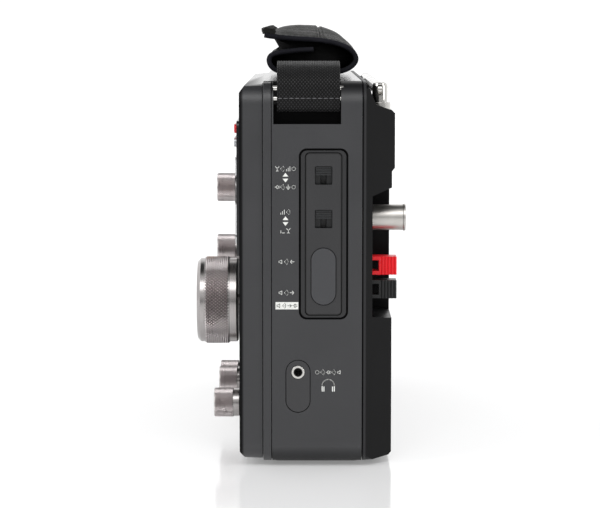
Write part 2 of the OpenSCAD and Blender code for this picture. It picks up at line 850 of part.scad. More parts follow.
module speaker_magnet() {
    y = inside_front + 0.1 + speaker_deep - magnet_t;
    color("#6c6e72") union() {
        bar_y(magnet_r, [grille_x, y + 0.02, grille_z], magnet_t - 1.5);
        bar_y(magnet_r - 3, [grille_x, y + 0.5, grille_z], magnet_t);
    }
}

module speaker_cone() {
    y = inside_front + 0.1;
    deep = speaker_deep - magnet_t - 6;
    color("#2a2726") translate([grille_x, y, grille_z]) rotate([-90, 0, 0]) rotate_extrude()
        polygon([[0, deep - 4], [12, deep - 1], [13, deep - 1],
                 [cone_r - 9, 3], [cone_r - 6, 1.2], [cone_r - 1.2, 2.6],
                 [cone_r - 1.2, 3.4], [cone_r - 6, 2], [cone_r - 9, 3.8],
                 [13.4, deep], [12, deep], [0, deep - 3.2]]);
}

/* ---- Battery ---- */

function cell_places() = [for (side = [-1, 1]) door_z + side * (cell_d / 2 + 1)];

module battery_cells() {
    color("#3f6ea8") for (z = cell_places()) union() {
        bar_x(cell_d / 2, [cell_x - cell_len / 2, cell_y, z], cell_len - 1.5);
        bar_x(cell_d / 4, [cell_x + cell_len / 2 - 2, cell_y, z], 2);
    }
}

// A flat plate at the positive end of each cell, and a plate with a coil at the other.
module battery_contacts() {
    left = door_x - door_w / 2 + 0.05;
    right = door_x + door_w / 2 - 0.05;
    coil_x = left + contact_t - eps;
    color("#c8cacc") for (z = cell_places()) {
        box([cell_x + cell_len / 2 + 0.1, cell_y - 5, z - 6], [right, cell_y + 5, z + 6]);
        box([left, cell_y - 5, z - 6], [left + contact_t, cell_y + 5, z + 6]);
        difference() {
            bar_x(cell_d / 4, [coil_x, cell_y, z], cell_x - cell_len / 2 - 0.1 - coil_x);
            bar_x(cell_d / 4 - 1, [coil_x + 1, cell_y, z], spring_room);
        }
    }
}

module battery_door() {
    w = door_w - 2 * door_gap;
    h = door_h - 2 * door_gap;
    color("#262628") difference() {
        upright(w, h, 1.5, rear_face - door_t, rear_face, door_x, door_z);
        upright(22, 7, 3.4, rear_face - 1, rear_face + 1, door_x, door_z + h / 2 - 7);
    }
}

/* ---- Antenna ---- */

module antenna_socket() {
    color("#c9c9c6") difference() {
        bar_z(collar_r, [mast_x, mast_y, socket_z], collar_z - socket_z);
        bar_z(spindle_r + 0.06, [mast_x, mast_y, socket_z - 1], 30);
    }
}

// A round-topped knuckle on a spindle, slotted for the mast's tongue, and the pin the tongue turns on.
module antenna_swivel() {
    low = collar_z + 0.1;
    color("#cfcfcc") union() {
        difference() {
            union() {
                translate([mast_x, mast_y, 0]) rotate_extrude()
                    polygon([[0, low], [swivel_r, low], [swivel_r, pivot_z + 1.8],
                             [swivel_r - 0.6, pivot_z + 3.2], [swivel_r - 2.1, pivot_z + 3.9],
                             [0, pivot_z + 4]]);
                bar_z(spindle_r, [mast_x, mast_y, socket_z], collar_z - socket_z + 0.5);
            }
            box([mast_x - 10, mast_y - tongue_t / 2 - 0.15, pivot_z - tongue_r - 0.3],
                [mast_x + 10, mast_y + tongue_t / 2 + 0.15, pivot_z + 10]);
            bar_y(pivot_r + 0.02, [mast_x, mast_y - 10, pivot_z], 20);
        }
        bar_y(pivot_r, [mast_x, mast_y - swivel_r + 0.4, pivot_z], 2 * swivel_r - 0.8);
    }
}

function tube_r(i) = mast_d / 2 - i * (mast_wall + mast_gap);

// One tube of the mast, nested i tubes deep; its outer end stands 0.6 mm out of the tube round it.
module mast_tube(i) {
    end = mast_start - mast_len - 0.6 * i;
    color("#cfcfcc") difference() {
        bar_x(tube_r(i), [end, mast_y, pivot_z], mast_len - 3 * i);
        bar_x(tube_r(i) - mast_wall, [end - 1, mast_y, pivot_z], mast_len - 2.4 - 3 * i);
    }
}

module antenna_tube_1() {
    color("#cfcfcc") union() {
        mast_tube(0);
        difference() {
            union() {
                box([mast_start - 1, mast_y - tongue_t / 2, pivot_z - tongue_r],
                    [mast_x, mast_y + tongue_t / 2, pivot_z + tongue_r]);
                bar_y(tongue_r, [mast_x, mast_y - tongue_t / 2, pivot_z], tongue_t);
            }
            bar_y(pivot_r + 0.06, [mast_x, mast_y - 5, pivot_z], 10);
        }
    }
}

module antenna_tube_2() { mast_tube(1); }
module antenna_tube_3() { mast_tube(2); }
module antenna_tube_4() { mast_tube(3); }

module antenna_rod() {
    end = mast_start - mast_len - 2.4;
    color("#cfcfcc") union() {
        bar_x(tube_r(4), [end, mast_y, pivot_z], mast_len - 14);
        bar_x(mast_d / 2, [end - tip_len + 0.8, mast_y, pivot_z], tip_len - 0.8);
        bar_x(mast_d / 2 - 0.7, [end - tip_len, mast_y, pivot_z], 2);
    }
}

// The height of the rear housing's roof at a distance y back: the slope, then the shelf behind it.
function roof(y) = let (over = y - slope_y - slope_run)
    over < 0 ? shelf_z + 1.8 - over * slope_drop / slope_run
             : shelf_z + 1.8 - over * shelf_drop / (rear_depth - rear_rim - slope_run);

// A clip that holds the folded mast: a round seat with a tall front prong, on the slope and the shelf.
module antenna_clip() {
    gap = mast_d / 2 + 0.3;
    front = mast_y - gap - 1.8;
    back = mast_y + 1.4;
    valley = slope_y + slope_run;
    color("#1b1b1c") along_x(concat(
        [[front, roof(front) + 0.06], [valley + 0.05, roof(valley) + 0.1], [back, roof(back) + 0.06]],
        [for (a = [290:-10:180]) [mast_y + gap * cos(a), pivot_z + gap * sin(a)]],
        [[mast_y - gap, pivot_z + 2.4], [mast_y - gap - 0.7, pivot_z + 3], [front, pivot_z + 2.6]]
    ), clip_x - clip_w / 2, clip_x + clip_w / 2);
}

/* ---- Antenna connections in the bay ---- */

module coax_socket() {
    len = rear_face + socket_reach - bay_y;
    r = coax_d / 2;
    color("#c4c4c2") difference() {
        union() {
            bar_y(r, [coax_x, bay_y + 0.05, coax_z], len - 0.05);
            bar_y(r + 0.35, [coax_x, bay_y + len - 1.2, coax_z], 1.2);
            bar_y(r - 1.5, [coax_x, bay_y - wall - 3, coax_z], wall + 4);
        }
        bar_y(r - coax_wall, [coax_x, bay_y + 3, coax_z], len);
    }
}

module coax_contact() {
    mouth = rear_face + socket_reach - 3;
    color("#c9a24a") difference() {
        bar_y(contact_r, [coax_x, bay_y + 3.02, coax_z], mouth - bay_y - 3.02);
        bar_y(contact_bore, [coax_x, mouth - contact_len, coax_z], contact_len + 1);
    }
}

block_left = wire_x - 3.5;
block_right = lever_x + lever_w / 2 + 1.5;
block_low = lever_z[1] - lever_h / 2 - 1.6;
block_high = lever_z[0] + lever_h / 2 + 1.6;

module terminal_block() {
    face = bay_y + 0.2;
    color("#161617") difference() {
        box([block_left, face - block_deep, block_low], [block_right, face, block_high]);
        for (z = lever_z) {
            for (side = [-1, 1])
                lever_slab(z + side * leg_pitch / 2, lever_leg, face - block_deep + 1, face + 1, 0.2);
            bar_y(wire_r, [wire_x, face - 5, z], 6);
        }
    }
}

// A slab as wide as a lever and h high, from y0 to y1, grown by gap at its sides and three quarters
// of that above and below.
module lever_slab(z, h, y0, y1, gap = 0) {
    w = lever_w / 2 + gap;
    box([lever_x - w, y0, z - h / 2 - 0.75 * gap], [lever_x + w, y1, z + h / 2 + 0.75 * gap]);
}

// A push lever of the wire terminals: a ribbed head on two legs that slide in the block.
module terminal_lever(z, colour) {
    face = bay_y + 0.2;
    head = face + lever_out;
    color(colour) difference() {
        union() {
            lever_slab(z, lever_h, head, head + lever_len);
            for (side = [-1, 1]) lever_slab(z + side * leg_pitch / 2, lever_leg, face - 2, head + 1);
        }
        for (i = [0:4]) box([lever_x + lever_w / 2 - 0.5, head + 1.2 + 1.6 * i, z - lever_h],
                            [lever_x + lever_w, head + 1.7 + 1.6 * i, z + lever_h]);
    }
}

module red_terminal_lever() { terminal_lever(lever_z[0], "#e0202e"); }
module black_terminal_lever() { terminal_lever(lever_z[1], "#1a1a1b"); }

/* ---- Handle ---- */

module handle_pins() {
    color("#d0d0cc") for (side = [0, 1]) mirror([side, 0, 0])
        for (p = [anchor, guide]) bar_y(pin_r, [p[0], panel_y + 0.3, p[1]], pocket_w + 1.8);
}

// The line that a strap end follows, in (x, z): round the anchor pin, past the guide pin, over to the grip.
function strap_line() = concat(
    [[loop[0] - loop_r, guide[1] - pin_r - 0.5]],
    [for (a = [180:22.5:360]) loop + loop_r * [cos(a), sin(a)]],
    [for (p = [[0.2, -6], [0.1, -2.5], [-0.9, 0.6], [-3.3, 3.3], [-6.8, 5.6]])
        [loop[0] + loop_r + p[0], z_top + p[1]]],
    [for (p = [[14, -1], [22, 0.1], [32, 0.6], [46, 0.4]]) [x_end - p[0], strap_z + p[1]]],
    [[strap_in, strap_z]]
);

function unit(v) = v / norm(v);

// The points of a line moved sideways by d, to its left.
function moved(line, d) = [
    for (i = [0:len(line) - 1])
        let (a = line[max(i - 1, 0)], b = line[min(i + 1, len(line) - 1)], t = unit(b - a))
            line[i] + d * [-t[1], t[0]]
];

// An outline that follows a line, t thick.
module ribbon_shape(line, t) {
    n = len(line);
    points = concat(moved(line, t / 2), moved(line, -t / 2));
    polygon(points, [concat([for (i = [0:n - 1]) i], [for (i = [0:n - 1]) 2 * n - 1 - i])]);
}

module strap_end() {
    translate([0, strap_y + strap_w / 2, 0]) rotate([90, 0, 0]) linear_extrude(strap_w)
        ribbon_shape(strap_line(), strap_t);
}

module strap_right() { color("#161617") strap_end(); }
module strap_left() { color("#161617") mirror([1, 0, 0]) strap_end(); }

// The middle of the grip's leather in (y, z), from the inner lap round underneath to the flap on top.
function grip_line() = [
    for (p = [[2, 14.6], [-6, 14.4], [-12, 13.4], [-15.4, 10.4], [-16.6, 7.2], [-15.8, 4.2],
              [-13, 2.4], [-8, 1.6], [0, 1.5], [12, 1.6], [19, 2.2], [24.4, 4.2], [27.6, 7.6],
              [28.6, 11], [27, 14.8], [22, 19.8], [15, 23.8], [6, 25.8], [-3, 26],
              [-10.5, 24.8], [-16, 22.8], [-20, 21.8]])
        [p[0] + pocket_mid - 3.2, p[1] + grip_z]
];

module handle_grip() {
    color("#1a1b18") union() {
        translate([-grip_len / 2, 0, 0]) rotate([90, 0, 90]) linear_extrude(grip_len)
            ribbon_shape(grip_line(), leather_t);
        box([-strap_in + 0.2, strap_y - strap_w / 2, strap_z - strap_t / 2],
            [strap_in - 0.2, strap_y + strap_w / 2, strap_z + strap_t / 2]);
    }
}

front_cabinet();
middle_frame();
rear_cabinet();
right_end_panel();
left_end_panel();
feet();
case_screws();
switch_plate();
headphone_plate();
headphone_jack();
line_out_jacks();
slide_switch_bodies();
antenna_switch_slider();
sensitivity_switch_slider();
line_out_cover();
dc_jack();
display_panel();
display_lens();
lcd_module();
power_button();
band_button();
memory_button();
scan_button();
step_button();
tuning_knob();
volume_knob();
bass_knob();
treble_knob();
bandwidth_knob();
fine_tuning_knob();
rotary_controls();
control_board();
main_board();
shield_can();
ferrite_rod();
ferrite_coil();
speaker_grille();
speaker_frame();
speaker_magnet();
speaker_cone();
battery_cells();
battery_contacts();
battery_door();
antenna_socket();
antenna_swivel();
antenna_tube_1();
antenna_tube_2();
antenna_tube_3();
antenna_tube_4();
antenna_rod();
antenna_clip();
coax_socket();
coax_contact();
terminal_block();
red_terminal_lever();
black_terminal_lever();
handle_pins();
strap_right();
strap_left();
handle_grip();
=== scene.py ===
import json
import math
import bpy
import bmesh
from mathutils import Matrix, Vector, noise

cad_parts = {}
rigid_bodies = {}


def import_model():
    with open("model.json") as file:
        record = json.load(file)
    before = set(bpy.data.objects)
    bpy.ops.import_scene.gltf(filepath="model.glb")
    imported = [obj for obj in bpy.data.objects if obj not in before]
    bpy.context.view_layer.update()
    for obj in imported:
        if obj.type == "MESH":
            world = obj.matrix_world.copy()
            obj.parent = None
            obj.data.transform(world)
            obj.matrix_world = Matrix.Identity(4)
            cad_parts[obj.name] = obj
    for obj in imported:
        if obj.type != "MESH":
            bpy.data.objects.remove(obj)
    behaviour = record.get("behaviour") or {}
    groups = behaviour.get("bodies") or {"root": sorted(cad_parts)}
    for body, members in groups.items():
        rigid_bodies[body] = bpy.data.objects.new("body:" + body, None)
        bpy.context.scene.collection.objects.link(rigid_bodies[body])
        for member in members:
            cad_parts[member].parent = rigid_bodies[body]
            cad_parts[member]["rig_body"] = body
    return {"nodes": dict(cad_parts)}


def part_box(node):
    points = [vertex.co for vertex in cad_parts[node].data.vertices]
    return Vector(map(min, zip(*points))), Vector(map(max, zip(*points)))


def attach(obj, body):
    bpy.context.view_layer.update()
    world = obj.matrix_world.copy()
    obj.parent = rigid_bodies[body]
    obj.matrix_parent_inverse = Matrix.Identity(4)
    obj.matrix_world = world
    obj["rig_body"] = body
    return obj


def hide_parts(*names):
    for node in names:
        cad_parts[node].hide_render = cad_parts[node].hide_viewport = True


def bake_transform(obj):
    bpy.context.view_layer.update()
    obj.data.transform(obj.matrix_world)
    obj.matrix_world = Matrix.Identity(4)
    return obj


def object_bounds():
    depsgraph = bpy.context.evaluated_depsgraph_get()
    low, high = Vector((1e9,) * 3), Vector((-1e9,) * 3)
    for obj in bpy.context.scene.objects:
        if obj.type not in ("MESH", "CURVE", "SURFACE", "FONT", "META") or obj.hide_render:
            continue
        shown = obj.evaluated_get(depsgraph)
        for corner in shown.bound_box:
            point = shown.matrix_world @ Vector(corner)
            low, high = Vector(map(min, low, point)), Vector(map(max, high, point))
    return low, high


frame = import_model()
cad_low, cad_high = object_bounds()
mm = 0.001


# Cabinet mouldings: the front, the middle frame and the two end panels.
# They are injection moulded in dark grey ABS from spark-eroded tools, which leaves a fine matt grain.
# Each is the frame's own shape, its loose triangles merged and its edges eased; long screws close them.

def add(tree, kind, settings=(), **inputs):
    """A node of that kind, with its settings and its inputs set or linked; _0 and _1 are inputs by number."""
    made = tree.nodes.new(kind)
    for key, value in dict(settings).items():
        setattr(made, key, value)
    for key, value in inputs.items():
        socket = made.inputs[int(key[1:]) if key[0] == "_" else key.replace("_", " ")]
        if isinstance(value, bpy.types.NodeSocket):
            tree.links.new(value, socket)
        else:
            socket.default_value = value
    return made


def calc(tree, operation, a, b=0.0):
    """One sum of a node tree, as a socket."""
    return add(tree, "ShaderNodeMath", {"operation": operation}, _0=a, _1=b).outputs["Value"]


def new_material(name, colour, roughness, metallic=0.0, **sockets):
    """A material with one Principled shader, and its tree and object coordinates at hand."""
    made = bpy.data.materials.new(name)
    made.use_nodes = True
    tree = made.node_tree
    shader = tree.nodes["Principled BSDF"]
    shader.inputs["Base Color"].default_value = (*colour, 1)
    shader.inputs["Roughness"].default_value = roughness
    shader.inputs["Metallic"].default_value = metallic
    for key, value in sockets.items():
        shader.inputs[key.replace("_", " ")].default_value = value
    place = add(tree, "ShaderNodeTexCoord").outputs["Object"]
    return made, tree, shader, place


def mottle(tree, shader, place, colour, spread, scale, detail=3.0):
    """Lets the base colour wander a little, from spread darker to spread lighter."""
    pattern = add(tree, "ShaderNodeTexNoise", Vector=place, Scale=scale, Detail=detail)
    ramp = add(tree, "ShaderNodeValToRGB", Fac=pattern.outputs["Fac"])
    ramp.color_ramp.elements[0].position, ramp.color_ramp.elements[1].position = 0.3, 0.7
    for element, share in zip(ramp.color_ramp.elements, (1 - spread, 1 + spread)):
        element.color = (*(min(1, c * share) for c in colour), 1)
    tree.links.new(ramp.outputs["Color"], shader.inputs["Base Color"])
    return pattern


def rough_between(tree, shader, factor, low, high):
    """Roughness that runs from low to high with the factor."""
    span = add(tree, "ShaderNodeMapRange", Value=factor, _1=0.3, _2=0.7, _3=low, _4=high)
    tree.links.new(span.outputs["Result"], shader.inputs["Roughness"])


def bump(tree, shader, height, distance, strength=1.0, under=None):
    """Raises the surface by the height, over any bump under it."""
    made = add(tree, "ShaderNodeBump", Height=height, Distance=distance, Strength=strength)
    if under:
        tree.links.new(under.outputs["Normal"], made.inputs["Normal"])
    tree.links.new(made.outputs["Normal"], shader.inputs["Normal"])
    return made


def multiplied(tree, shader, share):
    """Multiplies the base colour by a share that varies over the surface."""
    shade = add(tree, "ShaderNodeMix", {"data_type": "RGBA", "blend_type": "MULTIPLY"}, _0=1.0, _7=share)
    tree.links.new(shader.inputs["Base Color"].links[0].from_socket, shade.inputs[6])
    tree.links.new(shade.outputs[2], shader.inputs["Base Color"])


def inner_nodes(made):
    """A finished material's tree, its shader and its object coordinates."""
    tree = made.node_tree
    return tree, tree.nodes["Principled BSDF"], tree.nodes["Texture Coordinate"].outputs["Object"]


def moulded_plastic(name, colour, roughness, grain, grain_height, **sockets):
    """Moulded plastic: a fine grain, faint clouding of the colour, and handling marks in the gloss."""
    made, tree, shader, place = new_material(name, colour, roughness, **sockets)
    mottle(tree, shader, place, colour, 0.07, 28)
    handling = add(tree, "ShaderNodeTexNoise", Vector=place, Scale=55, Detail=4.0)
    rough_between(tree, shader, handling.outputs["Fac"], roughness - 0.05, roughness + 0.06)
    texture = add(tree, "ShaderNodeTexNoise", Vector=place, Scale=grain, Detail=2.0)
    bump(tree, shader, texture.outputs["Fac"], grain_height)
    return made


def plain_mesh(name, bm):
    """A new mesh with nothing but the shape in it; the working mesh is given back."""
    bm.verts.ensure_lookup_table()
    bm.verts.index_update()
    mesh = bpy.data.meshes.new(name)
    mesh.from_pydata([v.co.copy() for v in bm.verts], [], [[v.index for v in f.verts] for f in bm.faces])
    mesh.validate()
    bm.free()
    return mesh


def placed(name, mesh, body, finish, nodes=(), smooth=35):
    """Hangs a finished mesh on its body, in place of the CAD nodes it stands for."""
    mesh.shade_smooth()
    if smooth:
        mesh.set_sharp_from_angle(angle=math.radians(smooth))
    else:
        mesh.shade_flat()
    mesh.materials.clear()
    mesh.materials.append(finish)
    piece = bpy.data.objects.new(name, mesh)
    bpy.context.scene.collection.objects.link(piece)
    if body:
        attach(piece, body)
    if nodes:
        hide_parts(*nodes)
    return piece


def shown_mesh(piece):
    """Applies the piece's modifiers to its mesh."""
    evaluated = piece.evaluated_get(bpy.context.evaluated_depsgraph_get())
    mesh = bpy.data.meshes.new_from_object(evaluated)
    piece.modifiers.clear()
    piece.data = mesh
    return piece


def shell(node, finish, edge=0.3, bends=30):
    """Stands for a CAD node: the same shape, merged, with its sharp edges eased by a small radius."""
    name = node + "_shell"
    bm = bmesh.new()
    bm.from_mesh(frame["nodes"][node].data)
    bmesh.ops.remove_doubles(bm, verts=bm.verts, dist=2e-6)
    bmesh.ops.dissolve_limit(bm, angle_limit=math.radians(0.6), verts=bm.verts, edges=bm.edges)
    piece = placed(name, plain_mesh(name, bm), frame["nodes"][node]["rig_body"], finish, [node])
    if edge:
        eased = piece.modifiers.new("eased", "BEVEL")
        eased.width = edge * mm
        eased.segments = 2
        eased.limit_method = "ANGLE"
        eased.angle_limit = math.radians(bends)
        eased.harden_normals = True
        shown_mesh(piece)
    return piece


cabinet_grey = (0.0345, 0.0350, 0.0375)


def painted_shade_past(made, axis, near, far, share, at_ends=None):
    """Paints shade: darkens the colour and the gloss where abs(axis) falls from near to far, in grooves and
    at rims.
    With at_ends, the rounded top and bottom of the cabinet get this painted shade no further than that share."""
    tree, shader, place = inner_nodes(made)
    parts = add(tree, "ShaderNodeSeparateXYZ", Vector=place)
    where = calc(tree, "ABSOLUTE", parts.outputs[axis])
    keep = add(tree, "ShaderNodeMapRange", Value=where, _1=far, _2=near, _3=share, _4=1.0).outputs["Result"]
    if at_ends:
        off = calc(tree, "ABSOLUTE", calc(tree, "SUBTRACT", parts.outputs["Z"], case_middle))
        least = add(tree, "ShaderNodeMapRange", Value=off, _1=case_half - 0.0125, _2=case_half - 0.0105,
                    _3=0.0, _4=1.0)
        depth = add(tree, "ShaderNodeMapRange", Value=off, _1=case_half - 0.009, _2=case_half - 0.002, _3=1.0,
                    _4=at_ends)
        keep = calc(tree, "MAXIMUM", keep, calc(tree, "MULTIPLY", least.outputs["Result"],
                                                depth.outputs["Result"]))
    multiplied(tree, shader, keep)
    gloss = shader.inputs["Specular IOR Level"]
    tree.links.new(calc(tree, "MULTIPLY", keep, gloss.default_value), gloss)


def painted_shade_ring(made, width, height, radius, middle, fade, share, inside=True):
    """Paints shade: darkens what lies inside, or outside, a rounded outline on the end wall, given by its
    middle (Y, Z), as shade falls in the groove there.
    """
    tree, shader, place = inner_nodes(made)
    far = add(tree, "ShaderNodeVectorMath", {"operation": "SUBTRACT"}, _0=place, _1=(0, middle[0], middle[1]))
    far = add(tree, "ShaderNodeVectorMath", {"operation": "ABSOLUTE"}, _0=far.outputs["Vector"])
    far = add(tree, "ShaderNodeVectorMath", {"operation": "SUBTRACT"}, _0=far.outputs["Vector"],
              _1=(1, width / 2 - radius, height / 2 - radius))
    far = add(tree, "ShaderNodeVectorMath", {"operation": "MAXIMUM"}, _0=far.outputs["Vector"], _1=(0, 0, 0))
    far = add(tree, "ShaderNodeVectorMath", {"operation": "LENGTH"}, _0=far.outputs["Vector"])
    ends = (share, 1.0) if inside else (1.0, share)
    keep = add(tree, "ShaderNodeMapRange", Value=far.outputs["Value"], _1=radius - fade, _2=radius,
               _3=ends[0], _4=ends[1])
    multiplied(tree, shader, keep.outputs["Result"])


def buffed_top(made):
    """The top of the cabinet is buffed by hands and cloths, so it is smoother than the sides."""
    tree, shader, place = inner_nodes(made)
    height = add(tree, "ShaderNodeSeparateXYZ", Vector=place).outputs["Z"]
    on_top = add(tree, "ShaderNodeMapRange", Value=height, _1=cad_high[2] - 0.0360, _2=cad_high[2] - 0.0310)
    buffed = add(tree, "ShaderNodeMix", _0=on_top.outputs["Result"], _3=0.12)
    tree.links.new(shader.inputs["Roughness"].links[0].from_socket, buffed.inputs[2])
    tree.links.new(buffed.outputs[0], shader.inputs["Roughness"])


wall_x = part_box("middle_frame")[1].x
front_low_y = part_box("front_cabinet")[0].y
case_low_z, case_high_z = (corner.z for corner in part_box("middle_frame"))
case_middle, case_half = (case_low_z + case_high_z) / 2, (case_high_z - case_low_z) / 2
cabinet_plastic = moulded_plastic("cabinet_plastic", cabinet_grey, 0.38, 1500, 0.000015)
front_plastic = moulded_plastic("front_plastic", cabinet_grey, 0.38, 1500, 0.000015)
# Painted shade: the front moulding is darker over its front face and the chamfer round it.
painted_shade_past(front_plastic, "Y", abs(front_low_y) - 0.0023, abs(front_low_y) - 0.0012, 0.16)
panel_plastic, left_plastic = (moulded_plastic(name, cabinet_grey, 0.38, 1500, 0.000015)
                               for name in ("panel_plastic", "left_plastic"))
# Painted shade on the end panels: darker in the grooves and at the rims, and somewhat darker at the rounded
# top and bottom.
for made in (panel_plastic, left_plastic):
    painted_shade_past(made, "X", wall_x - 0.00035, wall_x - 0.0007, 0.10, at_ends=0.30)
plate_low, plate_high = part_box("switch_plate")
plate_middle = ((plate_low.y + plate_high.y) / 2, (plate_low.z + plate_high.z) / 2)
plate_size = (plate_high.y - plate_low.y - 0.0040, plate_high.z - plate_low.z - 0.0040)
# Painted shade in the groove round the switch plate.
painted_shade_ring(panel_plastic, plate_size[0] + 0.0064, plate_size[1] + 0.0044, 0.0036, plate_middle, 0.0003, 0.5)
for made in (cabinet_plastic, front_plastic):
    buffed_top(made)
for node, finish in (("front_cabinet", front_plastic), ("middle_frame", cabinet_plastic),
                     ("right_end_panel", panel_plastic), ("left_end_panel", left_plastic)):
    shell(node, finish, 0.35)
headphone_trim = moulded_plastic("headphone_trim", (0.034, 0.034, 0.036), 0.42, 1500, 0.00002)
shell("headphone_plate", headphone_trim, 0.2)
switch_trim = moulded_plastic("switch_trim", (0.0265, 0.0265, 0.028), 0.40, 1500, 0.00002)
# Painted shade on the switch plate where its surface lies sunk below the wall.
painted_shade_past(switch_trim, "X", wall_x - 0.00035, wall_x - 0.0007, 0.10)
# Painted shade round the switch plate's rim, down in its groove.
painted_shade_ring(switch_trim, plate_size[0] - 0.0006, plate_size[1] - 0.0006, 0.0019, plate_middle, 0.0004, 0.2,
            inside=False)
shell("switch_plate", switch_trim, 0.2)


# Rear housing and battery door, moulded in a blacker, smoother ABS.
# The housing screws onto the middle frame; the door hooks in at its lower edge and swings down.

rear_black = (0.0048, 0.0048, 0.0052)
rear_plastic = moulded_plastic("rear_plastic", rear_black, 0.34, 1100, 0.000012, Specular_IOR_Level=0.10)
tree, shader, place = inner_nodes(rear_plastic)
# Painted highlight: a lighter band along the housing's front edge, just behind its seam with the end panels,
# stands in for light caught on that edge.
lip_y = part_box("right_end_panel")[1].y + 0.0014
from_lip = calc(tree, "ABSOLUTE", calc(tree, "SUBTRACT", add(tree, "ShaderNodeSeparateXYZ",
                                                             Vector=place).outputs["Y"], lip_y))
painted_highlight_share = add(tree, "ShaderNodeMapRange", Value=from_lip, _1=0.0003, _2=0.0009, _3=0.8, _4=0.0)
satin = add(tree, "ShaderNodeMix", {"data_type": "RGBA"}, _0=painted_highlight_share.outputs["Result"])
satin.inputs[7].default_value = (0.042, 0.042, 0.044, 1)
tree.links.new(shader.inputs["Base Color"].links[0].from_socket, satin.inputs[6])
tree.links.new(satin.outputs[2], shader.inputs["Base Color"])
shell("rear_cabinet", rear_plastic, 0.3)
shell("battery_door", rear_plastic, 0.3)


# Feet and case screws: two long rubber strips pressed into the bottom, and six zinc-plated pan-head
# screws in deep counterbores at the back.

foot_rubber = moulded_plastic("foot_rubber", (0.012, 0.012, 0.012), 0.62, 900, 0.00003)
shell("feet", foot_rubber, 0.4)


def plated_metal(name, colour, roughness, marks, marks_height):
    """Plated metal: faint clouding in the gloss and fine scratches from handling and tumbling."""
    made, tree, shader, place = new_material(name, colour, roughness, 1.0)
    cloud = mottle(tree, shader, place, colour, 0.05, 90)
    rough_between(tree, shader, cloud.outputs["Fac"], roughness * 0.75, roughness * 1.3)
    scratches = add(tree, "ShaderNodeTexNoise", Vector=place, Scale=marks, Detail=2.0)
    bump(tree, shader, scratches.outputs["Fac"], marks_height)
    return made


screw_steel = plated_metal("screw_steel", (0.34, 0.34, 0.35), 0.3, 1200, 0.000004)
shell("case_screws", screw_steel, 0.15)


# Right end: two slide switches behind square windows, and a soft cover over the line output.
# The sliders are black nylon with finger ribs; the cover is dark rubber on a living hinge at its foot.

slider_nylon = moulded_plastic("slider_nylon", (0.014, 0.015, 0.016), 0.36, 1800, 0.00001)
for node in ("antenna_switch_slider", "sensitivity_switch_slider"):
    shell(node, slider_nylon, 0.12)
shell("slide_switch_bodies", slider_nylon, 0.2)
cover_rubber = moulded_plastic("cover_rubber", (0.045, 0.046, 0.050), 0.55, 1300, 0.000025)
shell("line_out_cover", cover_rubber, 0.35)


# Sockets: the nickel-plated headphone and phono sockets, and the black mains inlet on the left end.
# Each is a turned sleeve pressed into a moulded block behind the wall.

def dark_inside(tree, shader, place, centre, radius):
    """Turns the metal black inside a radius round a bore that runs along X through centre (y, z): black
    moulding in the bore, painted shade on the chamfer round its mouth.
    """
    offset = add(tree, "ShaderNodeVectorMath", {"operation": "SUBTRACT"}, _0=place,
                 _1=(0, centre[0], centre[1]))
    flat = add(tree, "ShaderNodeVectorMath", {"operation": "MULTIPLY"}, _0=offset.outputs["Vector"],
               _1=(0, 1, 1))
    reach = add(tree, "ShaderNodeVectorMath", {"operation": "LENGTH"}, _0=flat.outputs["Vector"])
    metal = add(tree, "ShaderNodeMapRange", Value=reach.outputs["Value"], _1=radius - 0.00005,
                _2=radius + 0.00005,
                _3=0.0, _4=1.0).outputs["Result"]
    tree.links.new(metal, shader.inputs["Metallic"])
    shade = add(tree, "ShaderNodeMix", {"data_type": "RGBA"}, _0=metal)
    shade.inputs[6].default_value = (0.006, 0.005, 0.004, 1)
    tree.links.new(shader.inputs["Base Color"].links[0].from_socket, shade.inputs[7])
    tree.links.new(shade.outputs[2], shader.inputs["Base Color"])


def plated_socket(name, centre, radius):
    """Nickel plating round a black bore, with painted shade on the chamfer at its mouth."""
    made = plated_metal(name, (0.70, 0.69, 0.66), 0.16, 900, 0.000003)
    dark_inside(*inner_nodes(made), centre, radius)
    return made


def middle_of(node):
    """The middle of a CAD node's box, in mm."""
    low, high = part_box(node)
    return (low + high) / 2 / mm


socket_nickel = plated_metal("socket_nickel", (0.70, 0.69, 0.66), 0.16, 900, 0.000003)
ring_y, ring_z = middle_of("headphone_jack").yz
# The black reaches past the bore onto the sleeve's chamfer, as painted shade.
shell("headphone_jack", plated_socket("headphone_nickel", (ring_y * mm, ring_z * mm), 0.0023),
      0.3)
shell("line_out_jacks", socket_nickel, 0.2)
shell("dc_jack", slider_nylon, 0.25)


# Printed signs on the right end: pad-printed in white ink, 0.03 mm proud of the wall.
# They are plain pictures: a mast, waves, signal bars, a plug, loudspeakers, arrows and a headset.

ink_height = 0.03


def arc(cy, cz, r, start, stop, steps=8):
    """Points along an arc, in degrees."""
    turns = [math.radians(start + (stop - start) * i / steps) for i in range(steps + 1)]
    return [(cy + r * math.cos(a), cz + r * math.sin(a)) for a in turns]


